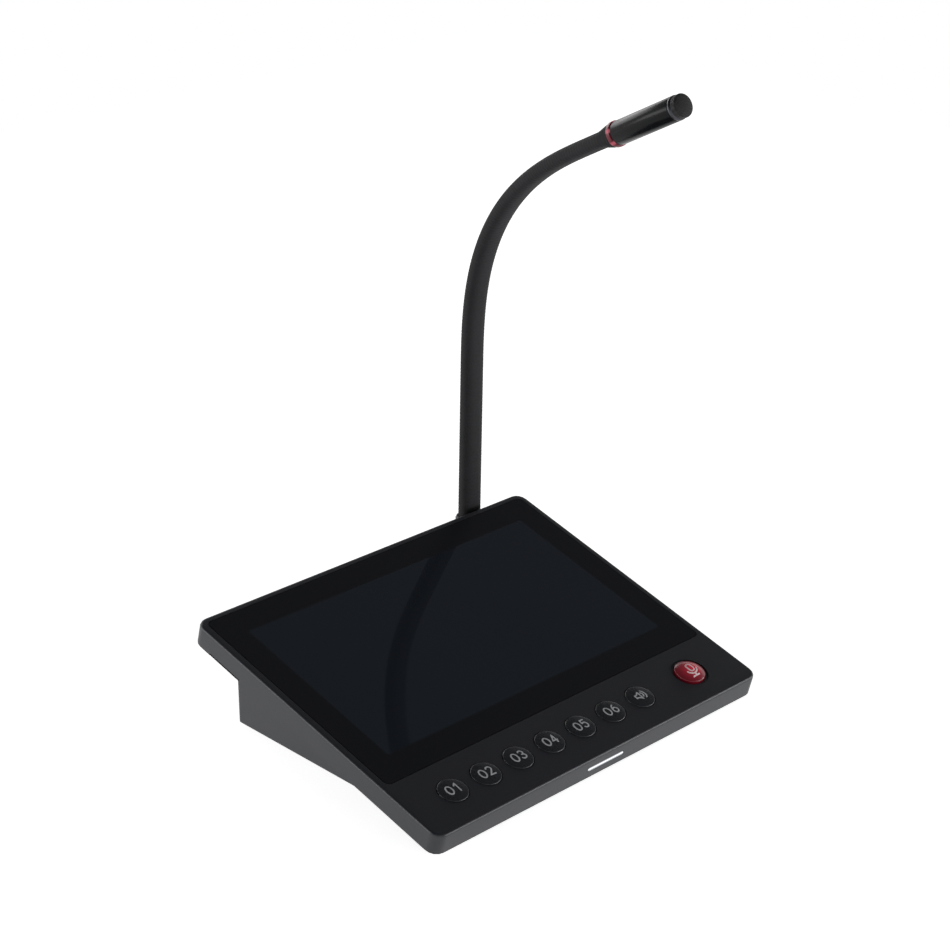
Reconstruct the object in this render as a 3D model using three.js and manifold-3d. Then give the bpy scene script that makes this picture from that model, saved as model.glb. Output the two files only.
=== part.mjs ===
// Paging microphone for a shop or office counter: a tilted slab with a glass-covered screen and a row
// of keys, a hollow wedge case under it, and a flat gooseneck that carries a slim microphone.
// Millimetres, +Z up, X to the user's right, the user sits towards -Y.

import * as THREE from "three";
import { mergeVertices } from "three/addons/utils/BufferGeometryUtils.js";
import Module from "manifold-3d";

const wasm = await Module();
wasm.setup();

const { degToRad } = THREE.MathUtils;

// Driving sizes of the slab.
const slabWidth = 183.6;
const slabDepth = 146.5;
const slabTiltDegrees = 15;
const slabCornerRadius = 5;
const slabEdgeRadius = 1.2;
const slabFootRadius = 0.6;
const skinWall = 2.2;
const ledgeWall = 1.8;

// Gaps that every seat shares, and the length by which a cutting shape passes a face.
const seatGap = 0.3;
const slideGap = 0.35;
const overrun = 1;
const weldDistance = 1e-4;

// Cover glass and screen module behind it.
const glassLip = 3.2;
const glassFrontEdge = 32;
const glassThickness = 1.1;
const glassCornerRadius = 2.4;
const screenSideInset = 10.8;
const screenFrontEdge = 38.4;
const screenRearInset = 9.1;
const screenBackRoom = 1.5;
const screenFlange = 2.4;
const screenFlangeThickness = 1.2;

// Keys: six numbered keys, one call key and the red talk key.
const keyRowFromFront = 16.6;
const firstKeyInset = 22.8;
const talkKeyInset = 25.6;
const talkKeyStepShare = 1.748;
const plainKeyCount = 7;
const keyRadiusShare = 0.358;
const talkKeyRadiusShare = 0.378;
const keyProud = 0.4;
const keyCrown = 0.6;
const talkKeyProud = 0.7;
const talkKeyCrown = 2.1;
const talkWellReach = 1.5;
const talkWellDepth = 0.7;
const keyFlangeReach = 1.1;
const keyFlangeThickness = 1;
const keyStemRadius = 2;
const keyTravel = 1;
const keyEdgeRound = 0.5;

// Rubber mat and circuit board under the keys.
const keyBoardThickness = 1.2;
const keyBoardDepth = 21;
const keyBoardSideInset = 7.8;
const keyBoardHoleRadius = 1.6;
const matThickness = 0.6;
const matCollarRadius = 4.2;
const matCollarWall = 0.9;
const matCollarRise = 0.7;

// Light bar in the front wall.
const lightLength = 20;
const lightHeight = 1.7;
const lightDrop = 5.2;
const lightFlange = 1.2;
const lightFlangeThickness = 1;

// Notches in the lower edge of the slab's side walls.
const notchRearInset = 11.1;
const notchLength = 19;
const notchHeight = 1.5;
const notchTabThickness = 0.8;

// Wedge case under the slab.
const caseInset = 13.5;
const caseRearInset = 9.5;
const caseFrontGap = 4.4;
const caseCornerRadius = 2.5;
const hollowFront = 26;
const noseFront = 10;
const footHeight = 1.5;
const footRadius = 6.5;
const footSeatDepth = 0.8;
const footInsetX = 14;
const footFrontY = 30;
const footRearInset = 14;
const ribCount = 4;
const ribThickness = 1.6;
const ribBoardGap = 15;
const ribHeight = 5;

// Screws that hold the case to the slab.
const screwSideInset = 7.4;
const screwFrontY = 33.9;
const screwRearInset = 8.1;
const postWall = 1.2;
const screwRadius = 1.1;
const screwHeadReach = 1.2;
const screwHeadHeight = 1.1;
const screwHeadSeat = 0.9;
const screwSlotWidth = 0.7;
const screwSlotDepth = 0.5;

// Main circuit board and what stands on it.
const boardSideGap = 14;
const boardSpeakerGap = 3;
const boardDepth = 56;
const boardThickness = 1.6;
const boardRearGap = 4.5;
const boardRise = 5;
const standoffRadius = 2.6;
const standoffInset = 4.5;
const chipPlaceShare = 0.25;
const chipSize = 14;
const chipHeight = 1.6;
const powerPartPlaceShare = 0.31;
const powerPartRadius = 3.2;
const powerPartHeight = 7;

// Sockets in the rear wall: network, direct current, headset and serial data.
const networkPlaceShare = 0.58;
const networkSideWall = 2;
const networkTopWall = 1.6;
const networkLength = 18;
const networkPortWidth = 11.8;
const networkPortHeight = 8;
const networkPortDepth = 12;
const networkLatchWidth = 5;
const networkLatchHeight = 2.2;
const powerPlaceShare = 0.79;
const powerWall = 1.5;
const powerStep = 1.6;
const powerLength = 13;
const powerBoreRadius = 3.1;
const powerBoreDepth = 9.5;
const powerPinRadius = 1;
const dataPlaceShare = 0.36;
const dataWidth = 13.2;
const dataHeight = 5.8;
const dataLength = 14;
const dataWall = 0.5;
const dataPortDepth = 9;
const dataTongueThickness = 1.6;
const headsetPlaceShare = 0.18;
const headsetWidth = 6.6;
const headsetHeight = 5.4;
const headsetLength = 12;
const headsetNoseWall = 0.7;
const headsetNoseLength = 2.2;
const headsetBoreRadius = 1.8;
const headsetBoreDepth = 10;

// Monitor loudspeaker behind a slotted grille in the rear wall.
const speakerSideGap = 7;
const speakerRiseShare = 0.545;
const speakerRadiusShare = 0.436;
const speakerRimThickness = 1.4;
const speakerRim = 2.4;
const speakerBasketDepth = 5;
const speakerMagnetShare = 0.57;
const speakerMagnetDepth = 4;
const coneNeckShare = 0.33;
const coneDepth = 3.2;
const coneThickness = 0.5;
const grilleSlotCount = 7;
const grilleSlotWidth = 1.8;
const grillePitchShare = 0.293;

// Turret behind the slab that holds the neck's foot.
const neckClearance = 0.4;
const turretHalfWidth = 9.2;
const turretNutRoom = 0.9;
const turretDrop = 0.5;
const turretCornerRadius = 4;
const ferruleWall = 0.9;
const ferruleHeight = 7;
const ferruleFloor = 2.1;
const ferruleEdge = 0.8;
const shankRadius = 3;
const shankLength = 9;
const wireBoreRadius = 1.6;
const nutWall = 1.2;
const nutThickness = 3;

// Gooseneck: a flat oval tube, straight at its foot, then bent towards the user.
const neckHalfWidth = 5.5;
const neckHalfDepth = 3.42;
const neckTurnDegrees = -2.4;
const neckLeanDegrees = 1.45;
const neckStraight = 70.2;
const neckBendLength = 144.3;
const neckBendDegrees = 62.5;
const neckTail = 14.7;
const neckLinkCount = 12;
const firstLinkAt = 11;
const linkGap = 0.3;
const linkDome = 0.9;
const linkSteps = 2;
const adapterLength = 7;

// Microphone head.
const ringReach = 0.3;
const ringWidth = 2.2;
const ringEdge = 0.4;
const headRadius = 5;
const headWall = 0.5;
const headLength = 33.5;
const headPlugStep = 1;
const headPlugLength = 3;
const rimWidth = 1.3;
const rimChamfer = 0.6;
const meshStep = 0.25;
const meshLength = 2.6;
const meshCrown = 0.7;
const meshWall = 0.4;
const capsuleCollarWall = 0.5;
const capsuleLength = 5;
const capsuleSetback = 1.2;
const capsuleHolderReach = 0.8;
const capsuleHolderLength = 3;

// How finely round shapes are divided.
const roundSteps = 20;
const smallRoundSteps = 12;
const cornerSteps = 4;
const edgeSteps = 3;
const keyDomeSteps = 4;
const ovalSteps = 20;
const ovalPowerShare = 0.8;
const domeShares = [0.3, 0.68, 1];
const domeRiseShares = [0, 0.42, 1];

// Sizes that follow from the driving ones. First the slab, whose height is what it holds.
const slabTilt = degToRad(slabTiltDegrees);
const halfWidth = slabWidth / 2;
const keyStack = keyBoardThickness + matThickness + matCollarRise + keyTravel + keyFlangeThickness;
const slabHeight = keyStack + 2 * skinWall + 4 * seatGap;
const glassRecess = glassThickness + seatGap;
const ledgeUnder = glassRecess + ledgeWall;
const glassWidth = slabWidth - 2 * glassLip;
const glassRearEdge = slabDepth - glassLip;
const screenWidth = slabWidth - 2 * screenSideInset;
const screenDepth = slabDepth - screenRearInset - screenFrontEdge;
const screenThickness = slabHeight - skinWall - screenBackRoom - glassRecess;
const firstKeyX = firstKeyInset - halfWidth;
const talkKeyX = halfWidth - talkKeyInset;
const keyPitch = (talkKeyX - firstKeyX) / (plainKeyCount - 1 + talkKeyStepShare);
const keyRadius = keyPitch * keyRadiusShare;
const talkKeyRadius = keyPitch * talkKeyRadiusShare;
const keyBoardWidth = slabWidth - 2 * keyBoardSideInset;
const keyBoardTop = -slabHeight + skinWall + seatGap + keyBoardThickness;
const matTop = keyBoardTop + seatGap + matThickness;
const screwX = halfWidth - screwSideInset;
const screwRearY = slabDepth - screwRearInset;
const pilotRadius = screwRadius + seatGap;
const postRadius = pilotRadius + postWall;
const screwHeadRadius = screwRadius + screwHeadReach;

// The wedge case and what stands in it.
const caseHalfWidth = halfWidth - caseInset;
const slabReach = slabDepth * Math.cos(slabTilt);
const caseDepth = slabReach - caseRearInset;
const rearWallInside = caseDepth - skinWall;
const caseFloor = footHeight + skinWall;
const rearRoom = undersideAt(rearWallInside) - caseFloor;
const speakerRadius = rearRoom * speakerRadiusShare;
const speakerRise = rearRoom * speakerRiseShare;
const speakerX = skinWall - caseHalfWidth + speakerSideGap + speakerRadius;
const coneRadius = speakerRadius - speakerRim;
const coneNeckRadius = speakerRadius * coneNeckShare;
const speakerBasketRadius = coneRadius;
const speakerMagnetRadius = speakerRadius * speakerMagnetShare;
const boardLeft = speakerX + speakerRadius + boardSpeakerGap;
const boardRight = caseHalfWidth - skinWall - boardSideGap;
const boardWidth = boardRight - boardLeft;
const boardFloor = caseFloor + boardRise;
const boardTop = boardFloor + boardThickness;
const boardRear = rearWallInside - boardRearGap;
const boardFront = boardRear - boardDepth;
const socketBase = boardTop + seatGap;
const alongBoard = (share) => boardLeft + boardWidth * share;
const networkX = alongBoard(networkPlaceShare);
const networkWidth = networkPortWidth + 2 * networkSideWall;
const networkHeight = networkPortHeight + networkLatchHeight + 2 * networkTopWall;
const powerX = alongBoard(powerPlaceShare);
const powerWidth = 2 * (powerBoreRadius + powerWall);
const powerHeight = powerWidth + powerStep;
const dataX = alongBoard(dataPlaceShare);
const headsetX = alongBoard(headsetPlaceShare);
const headsetNoseRadius = headsetBoreRadius + headsetNoseWall;

// The neck, its foot and its head.
const ferruleHalfWidth = neckHalfWidth + seatGap + ferruleWall;
const ferruleHalfDepth = neckHalfDepth + seatGap + ferruleWall;
const ferrulePocket = ferruleHeight - ferruleFloor;
const nutAcross = 2 * (shankRadius + seatGap + nutWall);
const neckX = caseHalfWidth - skinWall / 2 - turretHalfWidth;
const neckY = slabReach + neckClearance + ferruleHalfDepth;
const turretRear = neckY + nutAcross / 2 + turretNutRoom + skinWall;
const turretTop = undersideAt(caseDepth) - turretDrop;
const ferruleBase = turretTop + seatGap;
const ferruleTop = ferruleBase + ferruleHeight;
const neckLength = neckStraight + neckBendLength + neckTail;
const linkPitch = (neckLength - firstLinkAt - adapterLength) / neckLinkCount;
const ringRadius = headRadius + ringReach;
const headPlugRadius = headRadius - headPlugStep;
const meshRadius = headRadius - meshStep;
const collarRadius = headRadius - headWall - seatGap;
const capsuleRadius = collarRadius - capsuleCollarWall - seatGap;

// The height of the slab's underside above the table at a distance behind the front edge.
function undersideAt(y) {
  return footHeight + y * Math.tan(slabTilt);
}

// Materials by what each sub-part is made of.
const plastic = (color, roughness) => new THREE.MeshStandardMaterial({ color, roughness, metalness: 0 });
const metal = (color, roughness) => new THREE.MeshStandardMaterial({ color, roughness, metalness: 1 });
const finishes = {
  housing: plastic(0x1f2023, 0.55),
  glass: plastic(0x0b0c10, 0.05),
  screen: plastic(0x1a1e24, 0.3),
  key: plastic(0x17181a, 0.25),
  talkKey: plastic(0x961e2d, 0.2),
  rubber: plastic(0x2a2a2c, 0.8),
  board: plastic(0x1c4a2e, 0.6),
  light: plastic(0xf2f4f6, 0.4),
  steel: metal(0x8b8d90, 0.35),
  socket: plastic(0x101012, 0.5),
  neck: plastic(0x2b2b2e, 0.6),
  head: metal(0x202124, 0.3),
  ring: plastic(0xb02a48, 0.2),
  rim: metal(0x8f9196, 0.25),
  mesh: metal(0x2a2b2d, 0.6),
  paper: plastic(0x222222, 0.9),
};

// Solid modelling helpers: a closed geometry becomes a solid that can be joined and cut.
function solid(geometry) {
  const bare = geometry.clone();
  bare.deleteAttribute("uv");
  bare.deleteAttribute("normal");
  const merged = mergeVertices(bare, weldDistance);
  const { array } = merged.attributes.position;
  const triVerts = new Uint32Array(merged.index.array);
  return new wasm.Manifold(new wasm.Mesh({ numProp: 3, vertProperties: array, triVerts }));
}

function cut(base, ...tools) {
  return tools.reduce((left, tool) => left.subtract(tool), base);
}

function join(base, ...others) {
  return others.reduce((left, other) => left.add(other), base);
}

function geometryOf(manifold) {
  const { numProp, vertProperties, triVerts } = manifold.getMesh();
  const geometry = new THREE.BufferGeometry();
  const positions = new Float32Array((vertProperties.length / numProp) * 3);
  for (let i = 0; i < positions.length / 3; i += 1) {
    positions.set(vertProperties.subarray(i * numProp, i * numProp + 3), i * 3);
  }
  geometry.setAttribute("position", new THREE.BufferAttribute(positions, 3));
  geometry.setIndex(new THREE.BufferAttribute(triVerts, 1));
  geometry.computeVertexNormals();
  return geometry;
}

function addPart(group, name, shape, material) {
  const geometry = shape.isBufferGeometry ? shape : geometryOf(shape);
  const mesh = new THREE.Mesh(geometry, material);
  mesh.name = name;
  group.add(mesh);
  return mesh;
}

// A block from its low to its high corner.
function block(x0, x1, y0, y1, z0, z1) {
  const geometry = new THREE.BoxGeometry(x1 - x0, y1 - y0, z1 - z0);
  geometry.translate((x0 + x1) / 2, (y0 + y1) / 2, (z0 + z1) / 2);
  return solid(geometry);
}

// An upright rod between two heights.
function rod(x, y, radius, z0, z1, steps = smallRoundSteps) {
  const geometry = new THREE.CylinderGeometry(radius, radius, z1 - z0, steps);
  geometry.rotateX(Math.PI / 2);
  geometry.translate(x, y, (z0 + z1) / 2);
  return solid(geometry);
}

// A rod that lies along Y between two places.
function lyingRod(x, z, radius, y0, y1, steps = smallRoundSteps) {
  const geometry = new THREE.CylinderGeometry(radius, radius, y1 - y0, steps);
  geometry.translate(x, (y0 + y1) / 2, z);
  return solid(geometry);
}

// A closed shape turned about Z from [radius, height] pairs that start and end on the axis.
function turned(pairs, steps = roundSteps) {
  const geometry = new THREE.LatheGeometry(pairs.map(([r, z]) => new THREE.Vector2(r, z)), steps);
  geometry.rotateX(Math.PI / 2);
  return geometry;
}

// A solid skin through closed rings of equal point count, with a fan over each end.
function loft(rings) {
  const points = rings.flat();
  const count = rings[0].length;
  const index = [];
  for (let i = 0; i < rings.length - 1; i += 1) {
    for (let j = 0; j < count; j += 1) {
      const a = i * count + j;
      const b = i * count + ((j + 1) % count);
      index.push(a, b, b + count, a, b + count, a + count);
    }
  }
  const middle = (ring) =>
    ring.reduce((sum, point) => sum.add(point), new THREE.Vector3()).divideScalar(count);
  const low = points.push(middle(rings[0])) - 1;
  const high = points.push(middle(rings.at(-1))) - 1;
  const last = (rings.length - 1) * count;
  for (let j = 0; j < count; j += 1) {
    const k = (j + 1) % count;
    index.push(low, k, j);
    index.push(high, last + j, last + k);
  }
  const geometry = new THREE.BufferGeometry().setFromPoints(points);
  geometry.setIndex(index);
  geometry.computeVertexNormals();
  return geometry;
}

// The outline of a rounded rectangle as a ring of points at one height.
function roundedRing(x0, x1, y0, y1, radius, z) {
  const corners = [
    [x1 - radius, y1 - radius],
    [x0 + radius, y1 - radius],
    [x0 + radius, y0 + radius],
    [x1 - radius, y0 + radius],
  ];
  return corners.flatMap(([x, y], quarter) =>
    Array.from({ length: cornerSteps + 1 }, (_, step) => {
      const angle = ((quarter + step / cornerSteps) * Math.PI) / 2;
      return new THREE.Vector3(x + radius * Math.cos(angle), y + radius * Math.sin(angle), z);
    }),
  );
}

function roundedPlate(x0, x1, y0, y1, radius, z0, z1) {
  return solid(loft([roundedRing(x0, x1, y0, y1, radius, z0), roundedRing(x0, x1, y0, y1, radius, z1)]));
}

// A flat oval ring in the XY plane: |x/a|^p + |y/b|^p = 1 with p a little above 2.
function ovalRing(a, b, z, steps = ovalSteps, share = ovalPowerShare) {
  return Array.from({ length: steps }, (_, i) => {
    const angle = (2 * Math.PI * i) / steps;
    const c = Math.cos(angle);
    const s = Math.sin(angle);
    return new THREE.Vector3(
      a * Math.sign(c) * Math.abs(c) ** share,
      b * Math.sign(s) * Math.abs(s) ** share,
      z,
    );
  });
}

// Frames: the whole unit stands on its feet; the slab is tilted, its front lower edge at y = 0.
const pagingMicrophone = new THREE.Group();
const unit = new THREE.Group();
pagingMicrophone.add(unit);
const slab = new THREE.Group();
slab.rotation.x = slabTilt;
slab.position.set(
  0,
  -slabHeight * Math.sin(slabTilt),
  footHeight + slabHeight * Math.cos(slabTilt),
);
unit.add(slab);
slab.updateMatrix();

// A solid drawn in the slab's frame, brought into the unit's frame.
function tilted(manifold) {
  return solid(geometryOf(manifold).applyMatrix4(slab.matrix));
}

const keyPlaces = Array.from({ length: plainKeyCount }, (_, i) => firstKeyX + i * keyPitch);

// The slab's outer skin: rings climb the side, then roll over the top edge.
function slabSkin() {
  const ring = (inset, z) =>
    roundedRing(
      -halfWidth + inset,
      halfWidth - inset,
      inset,
      slabDepth - inset,
      slabCornerRadius - inset,
      z,
    );
  const rings = [ring(slabFootRadius, -slabHeight), ring(0, -slabHeight + slabFootRadius)];
  for (let step = 0; step <= edgeSteps; step += 1) {
    const angle = (step / edgeSteps) * (Math.PI / 2);
    const inset = slabEdgeRadius * (1 - Math.cos(angle));
    rings.push(ring(inset, -slabEdgeRadius * (1 - Math.sin(angle))));
  }
  return solid(loft(rings));
}

// Outline of the light bar, a bar with round ends, drawn along X and Z and pushed through the wall.
function lightOutline(growth, y0, y1) {
  const radius = lightHeight / 2 + growth;
  const straight = lightLength / 2 - lightHeight / 2;
  const shape = new THREE.Shape();
  shape.absarc(straight, 0, radius, -Math.PI / 2, Math.PI / 2, false);
  shape.absarc(-straight, 0, radius, Math.PI / 2, (3 * Math.PI) / 2, false);
  shape.closePath();
  const geometry = new THREE.ExtrudeGeometry(shape, {
    depth: y1 - y0,
    bevelEnabled: false,
    curveSegments: cornerSteps + 1,
  });
  geometry.rotateX(Math.PI / 2);
  geometry.translate(0, y1, -lightDrop);
  return solid(geometry);
}

const screwPlaces = [
  [-screwX, screwFrontY],
  [screwX, screwFrontY],
  [-screwX, screwRearY],
  [screwX, screwRearY],
];

// Upper housing: one moulding with the key strip, the glass recess, the side walls and screw posts.
function upperHousing() {
  const wallInside = halfWidth - skinWall;
  const cornerInside = slabCornerRadius - skinWall;
  const screenHalf = screenWidth / 2 + seatGap;
  const plateTop = -slabHeight + skinWall;
  const hollow = roundedPlate(
    -wallInside,
    wallInside,
    skinWall,
    slabDepth - skinWall,
    cornerInside,
    -slabHeight - overrun,
    -ledgeUnder,
  );
  const keyHollow = block(
    -wallInside,
    wallInside,
    skinWall,
    glassFrontEdge - skinWall,
    -ledgeUnder - overrun,
    -skinWall,
  );
  const glassSeat = roundedPlate(
    -glassWidth / 2 - seatGap,
    glassWidth / 2 + seatGap,
    glassFrontEdge - seatGap,
    glassRearEdge + seatGap,
    glassCornerRadius + seatGap,
    -glassRecess,
    overrun,
  );
  const screenWindow = block(
    -screenHalf,
    screenHalf,
    screenFrontEdge - seatGap,
    screenFrontEdge + screenDepth + seatGap,
    -ledgeUnder - overrun,
    overrun,
  );
  const notches = [-halfWidth, halfWidth].map((x) =>
    block(
      x - skinWall - overrun,
      x + skinWall + overrun,
      slabDepth - notchRearInset - notchLength,
      slabDepth - notchRearInset,
      -slabHeight - overrun,
      -slabHeight + notchHeight,
    ),
  );
  const keyHoles = keyPlaces.map((x) =>
    rod(x, keyRowFromFront, keyRadius + slideGap, -slabHeight, overrun, roundSteps),
  );
  const talkHole = rod(
    talkKeyX,
    keyRowFromFront,
    talkKeyRadius + slideGap,
    -slabHeight,
    overrun,
    roundSteps,
  );
  const talkWell = rod(
    talkKeyX,
    keyRowFromFront,
    talkKeyRadius + talkWellReach,
    -talkWellDepth,
    overrun,
    roundSteps,
  );
  const posts = screwPlaces.map(([x, y]) =>
    rod(x, y, postRadius, plateTop + seatGap, -glassRecess - seatGap),
  );
  const postWebs = screwPlaces.map(([x, y]) =>
    block(
      Math.min(x, Math.sign(x) * (wallInside + seatGap)),
      Math.max(x, Math.sign(x) * (wallInside + seatGap)),
      y - pilotRadius,
      y + pilotRadius,
      plateTop + seatGap,
      -glassRecess - seatGap,
    ),
  );
  const pilots = screwPlaces.map(([x, y]) =>
    rod(x, y, pilotRadius, -slabHeight, -ledgeUnder - seatGap),
  );
  const shell = cut(slabSkin(), hollow, keyHollow, glassSeat, screenWindow, ...notches);
  const body = join(shell, ...posts, ...postWebs);
  const lightSlot = lightOutline(seatGap, -overrun, skinWall + overrun);
  return cut(body, ...pilots, ...keyHoles, talkHole, talkWell, lightSlot);
}

addPart(slab, "upper_housing", upperHousing(), finishes.housing);

addPart(
  slab,
  "cover_glass",
  roundedPlate(
    -glassWidth / 2,
    glassWidth / 2,
    glassFrontEdge,
    glassRearEdge,
    glassCornerRadius,
    -glassThickness,
    0,
  ),
  finishes.glass,
);

// Screen module: the panel stands up through the window, its tray has a flange under the ledge ends.
function screenModule() {
  const panel = block(
    -screenWidth / 2,
    screenWidth / 2,
    screenFrontEdge,
    screenFrontEdge + screenDepth,
    -glassRecess - screenThickness,
    -glassRecess,
  );
  const flange = block(
    -screenWidth / 2 + screenFlange,
    screenWidth / 2 - screenFlange,
    screenFrontEdge - screenFlange,
    screenFrontEdge + screenDepth + screenFlange,
    -ledgeUnder - seatGap - screenFlangeThickness,
    -ledgeUnder - seatGap,
  );
  return join(panel, flange);
}

addPart(slab, "screen_module", screenModule(), finishes.screen);

// A key: domed cap, flange that stops under the plate, and a stem above the board.
function keyCap(radius, proud, crown) {
  const flangeTop = -skinWall - seatGap;
  const flangeRadius = radius + keyFlangeReach;
  const stemEnd = keyBoardTop + keyTravel + seatGap;
  const shoulder = proud - keyEdgeRound;
  const profile = [
    [0, stemEnd],
    [keyStemRadius, stemEnd],
    [keyStemRadius, flangeTop - keyFlangeThickness],
    [flangeRadius, flangeTop - keyFlangeThickness],
    [flangeRadius, flangeTop],
    [radius, flangeTop],
    [radius, shoulder],
    [radius - keyEdgeRound, proud],
  ];
  const domeRadius = radius - keyEdgeRound;
  for (let step = 1; step <= keyDomeSteps; step += 1) {
    const share = 1 - step / keyDomeSteps;
    profile.push([domeRadius * share, proud + crown * (1 - share * share)]);
  }
  return turned(profile);
}

keyPlaces.forEach((x, i) => {
  const name = i < plainKeyCount - 1 ? `number_key_${i + 1}` : "call_key";
  const key = addPart(slab, name, keyCap(keyRadius, keyProud, keyCrown), finishes.key);
  key.position.set(x, keyRowFromFront, 0);
});
const talkKey = addPart(
  slab,
  "talk_key",
  keyCap(talkKeyRadius, talkKeyProud, talkKeyCrown),
  finishes.talkKey,
);
talkKey.position.set(talkKeyX, keyRowFromFront, 0);

// Key board and the rubber mat whose collars guide each stem down to its contact.
const allKeyPlaces = [...keyPlaces, talkKeyX];
function keyBoard() {
  const y0 = keyRowFromFront - keyBoardDepth / 2;
  const board = block(
    -keyBoardWidth / 2,
    keyBoardWidth / 2,
    y0,
    y0 + keyBoardDepth,
    keyBoardTop - keyBoardThickness,
    keyBoardTop,
  );
  const holes = [-1, 1].map((side) =>
    rod(
      side * (keyBoardWidth / 2 - 2 * keyBoardHoleRadius),
      y0 + 2 * keyBoardHoleRadius,
      keyBoardHoleRadius,
      keyBoardTop - keyBoardThickness - overrun,
      keyBoardTop + overrun,
    ),
  );
  return cut(board, ...holes);
}

function keyMat() {
  const y0 = keyRowFromFront - keyBoardDepth / 2 + matThickness;
  const low = keyBoardTop + seatGap;
  const inner = matCollarRadius - matCollarWall;
  const sheet = block(
    -keyBoardWidth / 2 + matThickness,
    keyBoardWidth / 2 - matThickness,
    y0,
    y0 + keyBoardDepth - 2 * matThickness,
    low,
    matTop,
  );
  const collars = allKeyPlaces.map((x) =>
    rod(x, keyRowFromFront, matCollarRadius, low, matTop + matCollarRise),
  );
  const holes = allKeyPlaces.map((x) =>
    rod(x, keyRowFromFront, inner, low - overrun, matTop + matCollarRise + overrun),
  );
  return cut(join(sheet, ...collars), ...holes);
}

addPart(slab, "key_board", keyBoard(), finishes.board);
addPart(slab, "key_mat", keyMat(), finishes.rubber);

// Light bar: it fills its slot flush with the front wall and has a flange behind the wall.
const lightBar = join(
  lightOutline(0, 0, skinWall + seatGap + lightFlangeThickness),
  lightOutline(lightFlange, skinWall + seatGap, skinWall + seatGap + lightFlangeThickness),
);
addPart(slab, "light_bar", lightBar, finishes.light);

// A solid with an upright side outline of [y, z] points, pushed across from x0 to x1.
function sidewaysPrism(points, x0, x1) {
  const shape = new THREE.Shape(points.map(([y, z]) => new THREE.Vector2(y, z)));
  const geometry = new THREE.ExtrudeGeometry(shape, { depth: x1 - x0, bevelEnabled: false });
  geometry.rotateY(Math.PI / 2);
  geometry.rotateX(Math.PI / 2);
  geometry.translate(x0, 0, 0);
  return solid(geometry);
}

const standoffPlaces = [boardLeft + standoffInset, boardRight - standoffInset].flatMap((x) => [
  [x, boardFront + standoffInset],
  [x, boardRear - standoffInset],
]);
const footPlaces = [-1, 1].flatMap((side) => [
  [side * (caseHalfWidth - footInsetX), footFrontY],
  [side * (caseHalfWidth - footInsetX), caseDepth - footRearInset],
]);

// The turret's upright shape, grown inwards by inset for its hollow.
function turretBlock(inset, z0, z1) {
  return roundedPlate(
    neckX - turretHalfWidth + inset,
    neckX + turretHalfWidth - inset,
    rearWallInside - turretCornerRadius,
    turretRear - inset,
    turretCornerRadius - inset,
    z0,
    z1,
  );
}

// Back plate: the slab's floor, with a wide mouth that opens into the wedge. On each side a thin tab
// reaches out under the side wall's notch and leaves a narrow slot to pry the plate open.
const mouthHalf = caseHalfWidth - skinWall / 2 + seatGap;
const mouthRear = caseDepth - skinWall / 2 + seatGap;
const mouthRise = undersideAt(slabDepth) + skinWall;

function backPlate() {
  const plateEdge = skinWall + seatGap;
  const plate = tilted(
    roundedPlate(
      -halfWidth + plateEdge,
      halfWidth - plateEdge,
      plateEdge,
      slabDepth - plateEdge,
      slabCornerRadius - plateEdge,
      -slabHeight,
      -slabHeight + skinWall,
    ),
  );
  const mouth = block(-mouthHalf, mouthHalf, hollowFront, mouthRear, 0, mouthRise);
  const tabs = [-1, 1].map((side) => {
    const inside = side * (halfWidth - plateEdge - overrun);
    const outside = side * (halfWidth - slabFootRadius);
    return tilted(
      block(
        Math.min(inside, outside),
        Math.max(inside, outside),
        slabDepth - notchRearInset - notchLength + seatGap,
        slabDepth - notchRearInset - seatGap,
        -slabHeight,
        -slabHeight + notchTabThickness,
      ),
    );
  });
  return cut(join(plate, ...tabs), mouth, ...screwHoles());
}

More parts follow.
